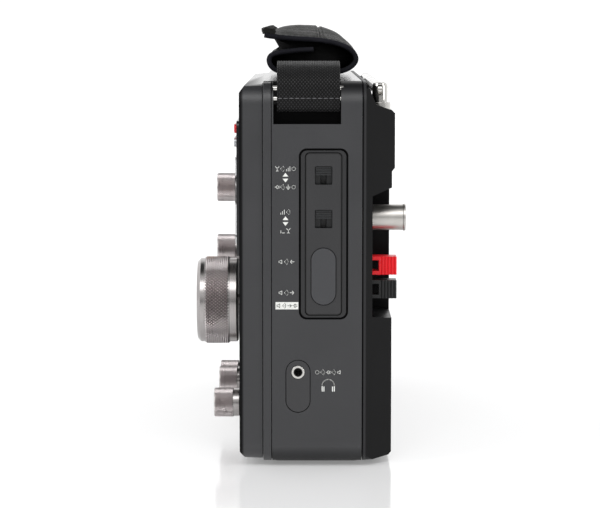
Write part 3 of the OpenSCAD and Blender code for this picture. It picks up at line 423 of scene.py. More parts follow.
SIGNS = {
    "mast": [[(0, -0.5), (0, 0.15)], [(-0.4, 0.5), (0, 0.05), (0.4, 0.5)], [(-0.25, -0.5), (0.25, -0.5)]],
    "waves": [arc(-0.4, 0, 0.35, -50, 50), arc(-0.4, 0, 0.75, -50, 50), [(-0.42, -0.08), (-0.42, 0.08)]],
    "bars": [[(-0.4, -0.5), (-0.4, -0.15)], [(0, -0.5), (0, 0.15)], [(0.4, -0.5), (0.4, 0.5)]],
    "bar": [[(-0.4, -0.5), (-0.4, 0)], [(-0.1, -0.5), (0.45, -0.5)]],
    "ring": [arc(0, 0, 0.42, 0, 360, 14)],
    "plug": [[(-0.5, 0), (-0.15, 0)], [(-0.15, -0.35), (-0.15, 0.35), (0.2, 0.35), (0.2, -0.35),
                                       (-0.15, -0.35)],
             [(0.2, 0.18), (0.5, 0.18)], [(0.2, -0.18), (0.5, -0.18)]],
    "earth": [[(0, 0.5), (0, 0)], [(-0.45, 0), (0.45, 0)], [(-0.28, -0.24), (0.28, -0.24)],
              [(-0.1, -0.48), (0.1, -0.48)]],
    "speaker": [[(-0.45, -0.18), (-0.45, 0.18), (-0.15, 0.18), (0.2, 0.45), (0.2, -0.45), (-0.15, -0.18),
                 (-0.45, -0.18)]],
    "left": [[(0.45, 0), (-0.4, 0)], [(-0.05, 0.35), (-0.42, 0), (-0.05, -0.35)]],
    "right": [[(-0.45, 0), (0.4, 0)], [(0.05, 0.35), (0.42, 0), (0.05, -0.35)]],
    "headset": [arc(0, -0.05, 0.48, 0, 180, 14), [(-0.48, -0.05), (-0.48, -0.5)],
                [(0.48, -0.05), (0.48, -0.5)],
                [(-0.34, -0.18), (-0.34, -0.5)], [(0.34, -0.18), (0.34, -0.5)]],
    "sun": [arc(0, 0, 0.2, 0, 360, 10)] + [[(0.34 * math.cos(a), 0.34 * math.sin(a)),
                                            (0.5 * math.cos(a), 0.5 * math.sin(a))]
                                          for a in (math.radians(45 * i) for i in range(8))],
    "power": [arc(0, 0, 0.42, 120, 420, 14), [(0, 0.1), (0, 0.5)]],
}


def strokes(lines, width):
    """Each line as a run of flat bars, one outline for each stretch."""
    bars = []
    for line in lines:
        for a, b in zip(line, line[1:]):
            a, b = Vector(a), Vector(b)
            along = (b - a).normalized() * width / 2
            side = Vector((-along.y, along.x))
            bars.append([a - along - side, b + along - side, b + along + side, a - along + side])
    return bars


def sign(name, cy, cz, size, width=0.28):
    """The bars of one sign, size across, centred at a place on the wall."""
    scaled = [[(cy + y * size, cz + z * size) for y, z in line] for line in SIGNS[name]]
    return strokes(scaled, width)


def sign_row(names, cy, cz, size, pitch, width=0.26):
    """Several signs side by side."""
    return [bar for i, name in enumerate(names)
            for bar in sign(name, cy + (i - (len(names) - 1) / 2) * pitch, cz, size, width)]


def printed(name, outlines, to_wall, body, finish):
    """Flat outlines as thin raised ink; to_wall takes (across, up, out), in mm, to a point in the frame."""
    bm = bmesh.new()
    for outline in outlines:
        low = [bm.verts.new(Vector(to_wall(a, b, -0.01)) * mm) for a, b in outline]
        high = [bm.verts.new(Vector(to_wall(a, b, ink_height)) * mm) for a, b in outline]
        bm.faces.new(high)
        bm.faces.new(low[::-1])
        for i in range(len(outline)):
            j = (i + 1) % len(outline)
            bm.faces.new((low[i], low[j], high[j], high[i]))
    bmesh.ops.recalc_face_normals(bm, faces=bm.faces)
    return placed(name, plain_mesh(name, bm), body, finish, smooth=0)


def print_ink(name, colour):
    """Pad-printing ink: slightly uneven in cover, with a satin skin."""
    made, tree, shader, place = new_material(name, colour, 0.48)
    mottle(tree, shader, place, colour, 0.10, 1600)
    skin = add(tree, "ShaderNodeTexNoise", Vector=place, Scale=2600, Detail=2.0)
    bump(tree, shader, skin.outputs["Fac"], 0.00001)
    return made


white_ink = print_ink("white_ink", (0.80, 0.81, 0.78))
dark_ink = print_ink("dark_ink", (0.03, 0.035, 0.03))
end_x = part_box("right_end_panel")[1].x / mm
slider_rise = 2.2
window_1, window_2 = (middle_of(node).z - slider_rise for node in ("antenna_switch_slider",
                                                                   "sensitivity_switch_slider"))
label_y = -7.8
triangle = [(-1.45, -0.95), (1.45, -0.95), (0, 0.95)]
end_signs = sign_row(("mast", "waves", "bars", "ring"), label_y, window_1 + 3.4, 2.2, 2.75)
end_signs += sign_row(("plug", "waves", "earth", "ring"), label_y, window_1 - 5.8, 2.2, 2.75)
end_signs += sign_row(("bars", "waves"), label_y, window_2 + 3.5, 2.2, 2.9)
end_signs += sign_row(("bar", "mast"), label_y, window_2 - 5.9, 2.2, 2.9)
for z in (window_1, window_2):
    end_signs.append([(label_y + a, z + 0.45 + b) for a, b in triangle])
    end_signs.append([(label_y - a, z - 2.5 - b) for a, b in triangle])
cover_mid = middle_of("line_out_cover").z
end_signs += sign_row(("speaker", "waves", "left"), label_y + 0.5, cover_mid + 7.5, 2.3, 2.8)
end_signs += sign_row(("speaker", "waves", "right"), label_y + 0.5, cover_mid - 8.2, 2.3, 2.8)
box_y, box_z, box_w, box_h = label_y + 0.7, cover_mid - 14.8, 11.5, 3.7
end_signs.append([(box_y + sy * box_w / 2, box_z + sz * box_h / 2) for sy,
                  sz in ((-1, -1), (1, -1), (1, 1), (-1, 1))])
end_signs += sign_row(("ring", "waves", "plug", "waves", "speaker"), ring_y + 15.3, ring_z, 2.2, 2.8)
end_signs += sign("headset", ring_y + 15.3, ring_z - 6.4, 6.4, 0.5)
printed("end_signs", end_signs, lambda a, b, out: (end_x + out, a, b), "cabinet", white_ink)
printed("end_box_signs", sign_row(("speaker", "waves", "right", "plug"), box_y, box_z, 2.2, 2.7),
        lambda a, b, out: (end_x + ink_height + out, a, b), "cabinet", dark_ink)


# Antenna terminals: a black block in the bay at the back, with one red and one black spring lever.
# The levers are moulded ABS, pushed in against a spring to take a bare wire.

terminal_black = moulded_plastic("terminal_black", (0.012, 0.0125, 0.013), 0.36, 1500, 0.00001)
shell("terminal_block", terminal_black, 0.2)
shell("black_terminal_lever", terminal_black, 0.35)
lever_red = moulded_plastic("lever_red", (0.95, 0.008, 0.018), 0.30, 1500, 0.000008)
shell("red_terminal_lever", lever_red, 0.35)


# Antenna socket: a turned and threaded brass shell, nickel plated, with a sprung brass centre contact.
# It passes through the bay's floor and is held by its flange.

def turned_metal(name, colour, low, high, centre, marks=2600, marks_height=0.000004):
    """Metal turned about an axis along Y through centre (x, z): every tool mark runs round that axis."""
    made, tree, shader, place = new_material(name, colour, low, 1.0)
    offset = add(tree, "ShaderNodeVectorMath", {"operation": "SUBTRACT"}, _0=place,
                 _1=(centre[0], 0, centre[1]))
    parts = add(tree, "ShaderNodeSeparateXYZ", Vector=offset.outputs["Vector"])
    across = add(tree, "ShaderNodeCombineXYZ", X=parts.outputs["X"], Y=parts.outputs["Z"])
    reach = add(tree, "ShaderNodeVectorMath", {"operation": "LENGTH"}, _0=across.outputs["Vector"])
    lathe = add(tree, "ShaderNodeCombineXYZ", X=reach.outputs["Value"], Y=parts.outputs["Y"])
    rings = add(tree, "ShaderNodeTexNoise", Vector=lathe.outputs["Vector"], Scale=marks, Detail=4.0)
    cloud = mottle(tree, shader, place, colour, 0.06, 160)
    both = calc(tree, "MULTIPLY", calc(tree, "ADD", rings.outputs["Fac"], cloud.outputs["Fac"]), 0.5)
    rough_between(tree, shader, both, low, high)
    bump(tree, shader, rings.outputs["Fac"], marks_height)
    return made


coax_mid = tuple(middle_of("coax_socket").xz * mm)
coax_nickel = turned_metal("coax_nickel", (0.60, 0.58, 0.55), 0.30, 0.42, coax_mid, 2600, 0.0000012)
shell("coax_socket", coax_nickel, 0.2)
contact_brass = turned_metal("contact_brass", (0.72, 0.50, 0.20), 0.18, 0.30, coax_mid)
shell("coax_contact", contact_brass, 0.1)


# Telescopic antenna: a swivel on a plated socket, four drawn brass tubes and a rod, all bright chrome.
# Its tip snaps into a black nylon clip on the step behind the top.

def bright_chrome(name, colour, roughness):
    """Polished plating with faint finger marks, drawing lines along X and a little clouding."""
    made, tree, shader, place = new_material(name, colour, roughness, 1.0)
    marks = add(tree, "ShaderNodeTexNoise", Vector=place, Scale=120, Detail=5.0)
    rough_between(tree, shader, marks.outputs["Fac"], roughness * 0.7, roughness * 2.0)
    mottle(tree, shader, place, colour, 0.04, 60)
    drawn = add(tree, "ShaderNodeMapping", Vector=place, Scale=(60, 4000, 4000))
    lines = add(tree, "ShaderNodeTexNoise", Vector=drawn.outputs["Vector"], Scale=1.0, Detail=2.0)
    bump(tree, shader, lines.outputs["Fac"], 0.000002)
    return made


antenna_chrome = bright_chrome("antenna_chrome", (0.60, 0.59, 0.565), 0.08)
for node in ("antenna_socket", "antenna_swivel"):
    shell(node, antenna_chrome, 0.25)
for node in ("antenna_tube_1", "antenna_tube_2", "antenna_tube_3", "antenna_tube_4", "antenna_rod"):
    shell(node, antenna_chrome, 0.12)
clip_nylon = moulded_plastic("clip_nylon", (0.012, 0.012, 0.0125), 0.42, 1600, 0.00001)
shell("antenna_clip", clip_nylon, 0.2)


# Display: a glossy black surround on the front, a clear window, and an amber liquid-crystal panel behind it.
# The digits and signs are dark segments in the panel; they spell nothing but a row of eights.

def glossy_black(name, colour, roughness):
    """High-gloss black moulding with hairline wiping marks and faint dust."""
    made, tree, shader, place = new_material(name, colour, roughness)
    mottle(tree, shader, place, colour, 0.08, 40)
    wiped = add(tree, "ShaderNodeMapping", Vector=place, Scale=(40, 900, 1400))
    hairs = add(tree, "ShaderNodeTexNoise", Vector=wiped.outputs["Vector"], Scale=1.0, Detail=4.0)
    rough_between(tree, shader, hairs.outputs["Fac"], roughness * 0.7, roughness * 1.6)
    bump(tree, shader, hairs.outputs["Fac"], 0.000002)
    return made


trim_gloss = glossy_black("trim_gloss", (0.010, 0.010, 0.012), 0.12)
shell("display_panel", trim_gloss, 0.25)
window_glass, tree, shader, place = new_material("window_glass", (0.93, 0.94, 0.95), 0.03)
shader.inputs["Transmission Weight"].default_value = 1.0
shader.inputs["IOR"].default_value = 1.45
wipes = add(tree, "ShaderNodeTexNoise", Vector=place, Scale=140, Detail=4.0)
rough_between(tree, shader, wipes.outputs["Fac"], 0.015, 0.06)
shell("display_lens", window_glass, 0.15)

backlight, tree, shader, place = new_material("backlight", (0.46, 0.19, 0.05), 0.42)
mottle(tree, shader, place, (0.46, 0.19, 0.05), 0.10, 50)
tree.links.new(shader.inputs["Base Color"].links[0].from_socket, shader.inputs["Emission Color"])
shader.inputs["Emission Strength"].default_value = 0.35
cells = add(tree, "ShaderNodeTexVoronoi", Vector=place, Scale=3000)
bump(tree, shader, cells.outputs["Distance"], 0.000008)
shell("lcd_module", backlight, 0.1)

SEVEN = {"a": ((-1, 2), (1, 2)), "b": ((1, 2), (1, 0)), "c": ((1, 0), (1, -2)), "d": ((-1, -2), (1, -2)),
         "e": ((-1, 0), (-1, -2)), "f": ((-1, 2), (-1, 0)), "g": ((-1, 0), (1, 0))}


def digit(x, z, height, width):
    """All seven segments of one digit, with small gaps where they meet."""
    scale = height / 4
    bars = []
    for a, b in SEVEN.values():
        a, b = Vector(a) * scale, Vector(b) * scale
        gap = (b - a).normalized() * width * 0.62
        bars += strokes([[(x + a.x + gap.x, z + a.y + gap.y), (x + b.x - gap.x, z + b.y - gap.y)]],
                        width * 0.9)
    return bars


lens_x, lens_z = middle_of("display_lens").xz
lcd_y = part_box("lcd_module")[0].y / mm
segments = []
for i in range(5):
    segments += digit(lens_x + (i - 2) * 11.4, lens_z + 1, 15, 1.5)
segments += strokes([[(lens_x + 17.0, lens_z - 6.6), (lens_x + 17.6, lens_z - 6.6)]], 1.2)
for i in range(8):
    segments += digit(lens_x - 26 + i * 3.3, lens_z - 14.5, 4.2, 0.5)
for i, name in enumerate(("mast", "bars", "waves", "speaker", "plug", "sun")):
    segments += [[(a, b) for a, b in bar] for bar in sign(name, lens_x - 26 + i * 6.5, lens_z + 14.6, 3.6,
                                                          0.4)]
for i in range(10):
    segments += strokes([[(lens_x + 4 + i * 2.6, lens_z - 15.6),
                          (lens_x + 4 + i * 2.6, lens_z - 15.6 + 0.6 + i * 0.3)]], 1.5)
lcd_ink = print_ink("lcd_ink", (0.035, 0.014, 0.006))
printed("lcd_segments", segments, lambda a, b, out: (a, lcd_y - out, b), "cabinet", lcd_ink)


# Push buttons: five moulded caps that rock on the control board, one red and four satin silver.
# Beside each, and round each knob, are white pad-printed dots and signs.

button_silver = moulded_plastic("button_silver", (0.50, 0.51, 0.53), 0.28, 1800, 0.000006, Metallic=0.55)
for node in ("band_button", "memory_button", "scan_button", "step_button"):
    shell(node, button_silver, 0.35)
button_red = moulded_plastic("button_red", (0.72, 0.014, 0.022), 0.28, 1800, 0.000006)
shell("power_button", button_red, 0.35)


panel_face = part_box("display_panel")[0].y / mm
cabinet_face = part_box("front_cabinet")[0].y / mm
button_signs = []
for node, name in (("band_button", "waves"), ("memory_button", "bars"), ("scan_button", "right"),
                   ("step_button", "left")):
    at = middle_of(node)
    button_signs += sign(name, at.x, at.z - 6.2, 2.4, 0.3)
at = middle_of("power_button")
button_signs += sign("power", at.x - 7.5, at.z, 2.6, 0.32)
printed("button_signs", button_signs, lambda a, b, out: (a, panel_face - out, b), "cabinet", white_ink)


def tick(at, turn, start, stop, width):
    """One mark round a knob's middle, from one radius to another."""
    a = math.radians(turn)
    return strokes([[(at.x + r * math.cos(a), at.z + r * math.sin(a)) for r in (start, stop)]], width)


dial_marks = []
sweep_start, sweep, dial_r = 225, 270, 10.6
small_knobs = (("volume_knob", "speaker", 11), ("bass_knob", "bars", 11), ("treble_knob", "waves", 11),
               ("bandwidth_knob", "ring", 9), ("fine_tuning_knob", "mast", 11))
for node, name, steps in small_knobs:
    at = middle_of(node)
    for i in range(steps):
        mark = 1.5 if i in (0, steps // 2, steps - 1) else 0.8
        dial_marks += tick(at, sweep_start - sweep * i / (steps - 1), dial_r, dial_r + mark, 0.35)
    dial_marks += sign(name, at.x, at.z + 14.2, 2.6, 0.34)
for i in range(40):
    dial_marks += tick(middle_of("tuning_knob"), 9 * i, 24.6, 26.2 if i % 5 else 27.2, 0.4)
printed("dial_marks", dial_marks, lambda a, b, out: (a, cabinet_face - out, b), "cabinet", white_ink)


# Speaker: a perforated steel grille over an acoustic cloth, with a pressed basket, a paper cone and a magnet.
# The grille is lacquered black and its lip is stuck to the front; the basket is screwed to bosses inside.

def painted_steel(name, colour, roughness):
    """Baked paint on steel sheet: a slight orange peel and clouding."""
    made, tree, shader, place = new_material(name, colour, roughness)
    mottle(tree, shader, place, colour, 0.10, 45)
    peel = add(tree, "ShaderNodeTexNoise", Vector=place, Scale=900, Detail=2.0)
    rough_between(tree, shader, peel.outputs["Fac"], roughness - 0.06, roughness + 0.08)
    bump(tree, shader, peel.outputs["Fac"], 0.00001)
    return made


grille_paint = painted_steel("grille_paint", (0.012, 0.012, 0.0125), 0.38)
shell("speaker_grille", grille_paint, 0.12, bends=60)
basket_paint = painted_steel("basket_paint", (0.07, 0.075, 0.085), 0.35)
shell("speaker_frame", basket_paint, 0.2)
magnet_steel = plated_metal("magnet_steel", (0.20, 0.20, 0.21), 0.35, 700, 0.000006)
shell("speaker_magnet", magnet_steel, 0.4)
cone_paper, tree, shader, place = new_material("cone_paper", (0.022, 0.020, 0.019), 0.9)
mottle(tree, shader, place, (0.022, 0.020, 0.019), 0.25, 300)
fibres = add(tree, "ShaderNodeTexNoise", Vector=place, Scale=900, Detail=6.0)
bump(tree, shader, fibres.outputs["Fac"], 0.00015)
shell("speaker_cone", cone_paper, 0.1)


def weave(tree, vector, count):
    """Height of a plain weave lying in the X-Z plane, with that many threads in a metre."""
    parts = add(tree, "ShaderNodeSeparateXYZ", Vector=vector)
    waves = [calc(tree, "SINE", calc(tree, "MULTIPLY", parts.outputs[name],
                                     count * math.pi)) for name in ("X", "Z")]
    both = calc(tree, "MULTIPLY", *waves)
    return add(tree, "ShaderNodeMapRange", Value=both, _1=-1.0, _2=1.0, _3=0.0, _4=1.0).outputs["Result"]


cloth_black, tree, shader, place = new_material("cloth_black", (0.014, 0.014, 0.015), 0.85)
mottle(tree, shader, place, (0.014, 0.014, 0.015), 0.2, 500)
bump(tree, shader, weave(tree, place, 1600), 0.00012)
grille_low, grille_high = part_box("speaker_grille")
grille_mid = (grille_low + grille_high) / 2
bm = bmesh.new()
bmesh.ops.create_cone(bm, cap_ends=True, segments=96, radius1=0.0476, radius2=0.0476, depth=0.0003,
                      matrix=Matrix.Translation((grille_mid.x, cabinet_face * mm + 0.0004, grille_mid.z))
                      @ Matrix.Rotation(math.pi / 2, 4, "X"))
placed("grille_cloth", plain_mesh("grille_cloth", bm), "cabinet", cloth_black)


# Inside: two circuit boards, a screening can, the rotary controls, a ferrite rod antenna and its winding.
# The boards are glass-epoxy under green solder mask; the can is tinned steel.

def solder_mask(name, colour):
    """Green lacquer over copper tracks, which show as slightly raised paler lines."""
    made, tree, shader, place = new_material(name, colour, 0.32)
    tracks = add(tree, "ShaderNodeTexBrick", {"offset": 0.37}, Vector=add(
        tree, "ShaderNodeMapping", Vector=place, Rotation=(math.pi / 2, 0, 0)).outputs["Vector"], Scale=120)
    tracks.inputs["Mortar Size"].default_value = 0.035
    tracks.inputs["Color1"].default_value = (*colour, 1)
    tracks.inputs["Color2"].default_value = (*(0.75 * c for c in colour), 1)
    tracks.inputs["Mortar"].default_value = (*(1.9 * c for c in colour), 1)
    tree.links.new(tracks.outputs["Color"], shader.inputs["Base Color"])
    rough_between(tree, shader, add(tree, "ShaderNodeTexNoise", Vector=place, Scale=70).outputs["Fac"], 0.26,
                  0.4)
    bump(tree, shader, tracks.outputs["Fac"], 0.00003)
    return made


board_green = solder_mask("board_green", (0.015, 0.11, 0.045))
shell("main_board", board_green, 0)
shell("control_board", board_green, 0)
tin_plate = plated_metal("tin_plate", (0.62, 0.62, 0.61), 0.28, 500, 0.000008)
shell("shield_can", tin_plate, 0.3)
shell("rotary_controls", magnet_steel, 0.2)
ferrite, tree, shader, place = new_material("ferrite", (0.040, 0.036, 0.033), 0.6)
mottle(tree, shader, place, (0.040, 0.036, 0.033), 0.2, 400)
pores = add(tree, "ShaderNodeTexVoronoi", Vector=place, Scale=1800)
bump(tree, shader, pores.outputs["Distance"], 0.00005)
shell("ferrite_rod", ferrite, 0.5)


def wound_copper(name, colour):
    """Enamelled copper wire wound round a former that lies along X: one ridge for each turn."""
    made, tree, shader, place = new_material(name, colour, 0.3, 0.8)
    mottle(tree, shader, place, colour, 0.12, 200)
    turns = add(tree, "ShaderNodeTexWave", {"bands_direction": "X"}, Vector=place, Scale=380, Distortion=0.3)
    rough_between(tree, shader, turns.outputs["Fac"], 0.24, 0.36)
    bump(tree, shader, turns.outputs["Fac"], 0.0002)
    return made


coil_copper = wound_copper("coil_copper", (0.45, 0.14, 0.04))
shell("ferrite_coil", coil_copper, 0.2)


# Battery bay: two cells in printed shrink sleeves, between sprung steel contacts.
# The sleeves are plain blue with a lighter band; the contacts are nickel-plated strip.

sleeve, tree, shader, place = new_material("cell_sleeve", (0.05, 0.14, 0.38), 0.25, Coat_Weight=0.4)
bands = add(tree, "ShaderNodeTexWave", {"bands_direction": "X"}, Vector=place, Scale=4.2, Distortion=0.0)
ramp = add(tree, "ShaderNodeValToRGB", Fac=bands.outputs["Fac"])
ramp.color_ramp.interpolation = "CONSTANT"
ramp.color_ramp.elements[0].color, ramp.color_ramp.elements[1].color = (0.04, 0.12, 0.34,
                                                                        1), (0.5, 0.52, 0.55, 1)
ramp.color_ramp.elements[1].position = 0.86
tree.links.new(ramp.outputs["Color"], shader.inputs["Base Color"])
creases = add(tree, "ShaderNodeTexNoise", Vector=place, Scale=260, Detail=4.0)
rough_between(tree, shader, creases.outputs["Fac"], 0.18, 0.34)
bump(tree, shader, creases.outputs["Fac"], 0.00004)
shell("battery_cells", sleeve, 0.4)
shell("battery_contacts", tin_plate, 0.05)


# Rear signs: a plug and an arrow, pad-printed in white on the battery door.
# They show what the bay takes and which way the door swings, with no words.

rear_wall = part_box("battery_door")[1].y / mm
door_at = middle_of("battery_door")
rear_signs = sign("plug", door_at.x, door_at.z + 12, 5.0, 0.5)
rear_signs += [[(door_at.x - 3, door_at.z - 14), (door_at.x + 3, door_at.z - 14),
                (door_at.x, door_at.z - 18)]]
printed("door_signs", rear_signs, lambda a, b, out: (a, rear_wall + out, b), "battery_lid", white_ink)


# Knobs: solid aluminium, turned and polished, with a diamond-knurled grip and a clear lacquer.
# Each is pressed on a shaft of the controls behind; the tuning knob has a finger hole in its face.

def new_tree(name, **sizes):
    """An empty geometry tree with named sizes, and its input sockets."""
    tree = bpy.data.node_groups.new(name, "GeometryNodeTree")
    tree.interface.new_socket("Geometry", in_out="OUTPUT", socket_type="NodeSocketGeometry")
    for key, value in sizes.items():
        whole = isinstance(value, int)
        made = tree.interface.new_socket(key, in_out="INPUT",
                                         socket_type="NodeSocketInt" if whole else "NodeSocketFloat")
        made.default_value = value
    return tree, add(tree, "NodeGroupInput").outputs


def end_tree(tree, instances, weld=0.00002):
    """Realizes the instances, welds their touching edges, sets their material slot and ends the tree."""
    real = add(tree, "GeometryNodeRealizeInstances", Geometry=instances)
    whole = add(tree, "GeometryNodeMergeByDistance", Geometry=real.outputs[0], Distance=weld)
    clad = add(tree, "GeometryNodeSetMaterial", Geometry=whole.outputs[0])
    add(tree, "NodeGroupOutput", _0=clad.outputs[0])


def grow(name, tree, seed=None, **sizes):
    """The plain mesh that a geometry tree makes at these sizes, from a seed mesh if it takes one."""
    holder = bpy.data.objects.new(name, seed or bpy.data.meshes.new(name + "_seed"))
    bpy.context.scene.collection.objects.link(holder)
    maker = holder.modifiers.new(name, "NODES")
    maker.node_group = tree
    for item in tree.interface.items_tree:
        if item.in_out == "INPUT" and item.name in sizes:
            maker[item.identifier] = sizes[item.name]
    mesh = bpy.data.meshes.new_from_object(holder.evaluated_get(bpy.context.evaluated_depsgraph_get()))
    holder.modifiers.clear()
    bpy.data.objects.remove(holder)
    return mesh


def knurl_tree():
    """Diamond teeth round a band along -Y: rows of four-sided points, each row shifted half a tooth."""
    tree, size = new_tree("diamond_knurl", Radius=0.022, First=0.005, Rows=12, Across=0.0016, Along=0.001,
                          Depth=0.0008)
    teeth = calc(tree, "ROUND", calc(tree, "DIVIDE", calc(tree, "MULTIPLY", size["Radius"], 2 * math.pi),
                                     size["Across"]))
    number = add(tree, "GeometryNodeInputIndex").outputs[0]
    row = calc(tree, "FLOOR", calc(tree, "DIVIDE", calc(tree, "ADD", number, 0.5), teeth))
    shift = calc(tree, "MULTIPLY", calc(tree, "FLOORED_MODULO", row, 2.0), 0.5)
    turn = calc(tree, "DIVIDE", calc(tree, "MULTIPLY", calc(tree, "ADD", number, shift), 2 * math.pi), teeth)
    radial = add(tree, "ShaderNodeCombineXYZ", X=calc(tree, "COSINE", turn),
                 Z=calc(tree, "SINE", turn)).outputs["Vector"]
    out = add(tree, "ShaderNodeVectorMath", {"operation": "SCALE"}, _0=radial,
              Scale=size["Radius"]).outputs["Vector"]
    back = calc(tree, "ADD", size["First"], calc(tree, "MULTIPLY", row, size["Along"]))
    along = add(tree, "ShaderNodeCombineXYZ", Y=calc(tree, "MULTIPLY", back, -1.0)).outputs["Vector"]
    place = add(tree, "ShaderNodeVectorMath", {"operation": "ADD"}, _0=out, _1=along).outputs["Vector"]
    points = add(tree, "GeometryNodePoints", Count=calc(tree, "MULTIPLY", teeth, size["Rows"]),
                 Position=place)
    tooth = add(tree, "GeometryNodeMeshCone", {"fill_type": "NONE"}, Vertices=4)
    for key, value in (("Radius Top", 0.0), ("Radius Bottom", 1.0), ("Depth", 1.0)):
        tooth.inputs[key].default_value = value
    stand = add(tree, "FunctionNodeAlignRotationToVector", {"axis": "Z"}, Vector=radial)
    lean = add(tree, "FunctionNodeAlignRotationToVector", {"axis": "Y", "pivot_axis": "Z"},
               Rotation=stand.outputs[0], Vector=(0, 1, 0))
    width = calc(tree, "DIVIDE", calc(tree, "MULTIPLY", size["Radius"], math.pi), teeth)
    stretch = add(tree, "ShaderNodeCombineXYZ", X=width, Y=size["Along"], Z=size["Depth"]).outputs["Vector"]
    copies = add(tree, "GeometryNodeInstanceOnPoints", Points=points.outputs[0], Instance=tooth.outputs[0],
                 Rotation=lean.outputs[0], Scale=stretch)
    end_tree(tree, copies.outputs[0])
    return tree


def painted_knurl_shade(made, low, high, dark):
    """Paints shade: darkens a turned metal where it lies near its axis, as shade falls in the floor of a
    knurl.
    """
    tree, shader = inner_nodes(made)[:2]
    reach = next(n for n in tree.nodes if n.bl_idname == "ShaderNodeVectorMath" and n.operation == "LENGTH")
    lit_share = add(tree, "ShaderNodeMapRange", Value=reach.outputs["Value"], _1=low, _2=high, _3=dark, _4=1.0)
    multiplied(tree, shader, lit_share.outputs["Result"])


knob_silver = (0.42, 0.40, 0.395)
grip_silver = (0.74, 0.68, 0.68)
knurled = knurl_tree()


def knurled_knob(node, root, low, high, first, last, rows, across, depth):
    """A knob from its CAD shape, its grip turned down to the root radius and cut with teeth up to the old."""
    at = middle_of(node)
    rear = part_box(node)[0].y / mm
    body = frame["nodes"][node]["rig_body"]
    finish = turned_metal(node + "_metal", knob_silver, low, high, (at.x * mm, at.z * mm))
    grip = turned_metal(node + "_grip", grip_silver, 0.22, 0.36, (at.x * mm, at.z * mm), 3400)
    # Painted shade between the teeth, darker where the knurl is deep.
    painted_knurl_shade(grip, (root + 0.12 * depth) * mm, (root + 0.95 * depth) * mm, 0.36 if depth > 0.5 else 0.62)
    knob = shell(node, finish, 0)
    for vertex in knob.data.vertices:
        reach = Vector((vertex.co.x - at.x * mm, vertex.co.z - at.z * mm))
        if reach.length > root * mm:
            reach *= root * mm / reach.length
            vertex.co.x, vertex.co.z = at.x * mm + reach.x, at.z * mm + reach.y
    teeth = grow(node + "_teeth", knurled, Radius=root * mm, First=first * mm, Rows=rows,
                 Across=across * mm, Along=(last - first) / (rows - 1) * mm, Depth=depth * mm)
    teeth.transform(Matrix.Translation((at.x * mm, rear * mm, at.z * mm)))
    placed(node + "_teeth", teeth, body, grip, smooth=20)


knurled_knob("tuning_knob", 22.2, 0.17, 0.28, -15.7, -4.95, 12, 1.6, 0.78)
for node, name, steps in small_knobs:
    knurled_knob(node, 7.3, 0.17, 0.28, -9.65, -0.7, 15, 1.05, 0.44)


# Strap: 32 mm nylon webbing, woven in a coarse basket weave, sewn round a steel pin in each end pocket.
# It runs over a second pin, up across the top edge and into the grip; the pins are chromed steel rod.

def fine_line(points, step):
    """A smooth line through the points, cut at even steps."""
    ends = [2 * points[0] - points[1]] + points + [2 * points[-1] - points[-2]]
    dense = []
    for a, b, c, d in zip(ends, ends[1:], ends[2:], ends[3:]):
        for i in range(24):
            t = i / 24
            dense.append(0.5 * (2 * b + (c - a) * t + (2 * a - 5 * b + 4 * c - d) * t * t
                                + (3 * b - a - 3 * c + d) * t ** 3))
    dense.append(points[-1])
    far = [0.0]
    for a, b in zip(dense, dense[1:]):
        far.append(far[-1] + (b - a).length)
    count = max(2, round(far[-1] / step))
    line, k = [], 0
    for i in range(count + 1):
        goal = far[-1] * i / count
        while k < len(dense) - 2 and far[k + 1] < goal:
            k += 1
        line.append(dense[k].lerp(dense[k + 1], (goal - far[k]) / max(far[k + 1] - far[k], 1e-9)))
    return line


def tube_mesh(name, rings):
    """A closed mesh through rings of points in mm, with both ends capped."""
    bm = bmesh.new()
    rows = [[bm.verts.new(Vector(p) * mm) for p in ring] for ring in rings]
    for low, high in zip(rows, rows[1:]):
        for i in range(len(low)):
            j = (i + 1) % len(low)
            bm.faces.new((low[i], low[j], high[j], high[i]))
    for end in (rows[0], rows[-1]):
        bm.faces.new(end)
    bmesh.ops.recalc_face_normals(bm, faces=bm.faces)
    return plain_mesh(name, bm)


def sideways(line):
    """At each point of a flat line, the unit vector to the right of its way."""
    made = []
    for i in range(len(line)):
        along = (line[min(i + 1, len(line) - 1)] - line[max(i - 1, 0)]).normalized()
        made.append(Vector((along.y, -along.x)))
    return made


def beads(name, places, across, along, high):
    """One small pillow at each place, which is (point in mm, way it faces, way it runs)."""
    seed = bpy.data.meshes.new(name + "_places")
    seed.from_pydata([Vector(place[0]) * mm for place in places], [], [])
    for key, i in (("facing", 1), ("run", 2)):
        values = seed.attributes.new(key, "FLOAT_VECTOR", "POINT")
        values.data.foreach_set("vector", [c for place in places for c in place[i]])
    mesh = grow(name + "_places", bead_tree, seed, Across=across * mm, Along=along * mm, High=high * mm)
    for key in ("facing", "run"):
        if mesh.attributes.get(key):
            mesh.attributes.remove(mesh.attributes[key])
    return mesh


bead_tree, size = new_tree("beads", Across=0.0008, Along=0.001, High=0.0004)
socket = bead_tree.interface.new_socket("Places", in_out="INPUT", socket_type="NodeSocketGeometry")
bead_tree.interface.move(socket, 0)
size = bead_tree.nodes["Group Input"].outputs
pillow = add(bead_tree, "GeometryNodeMeshUVSphere", Segments=6, Rings=4, Radius=1.0)
ways = {key: add(bead_tree, "GeometryNodeInputNamedAttribute", {"data_type": "FLOAT_VECTOR"},
                 Name=key).outputs[0]
        for key in ("facing", "run")}
stand = add(bead_tree, "FunctionNodeAlignRotationToVector", {"axis": "Z"}, Vector=ways["facing"])
lean = add(bead_tree, "FunctionNodeAlignRotationToVector", {"axis": "Y", "pivot_axis": "Z"},
           Rotation=stand.outputs[0], Vector=ways["run"])
stretch = add(bead_tree, "ShaderNodeCombineXYZ", X=size["Across"], Y=size["Along"],
              Z=size["High"]).outputs["Vector"]
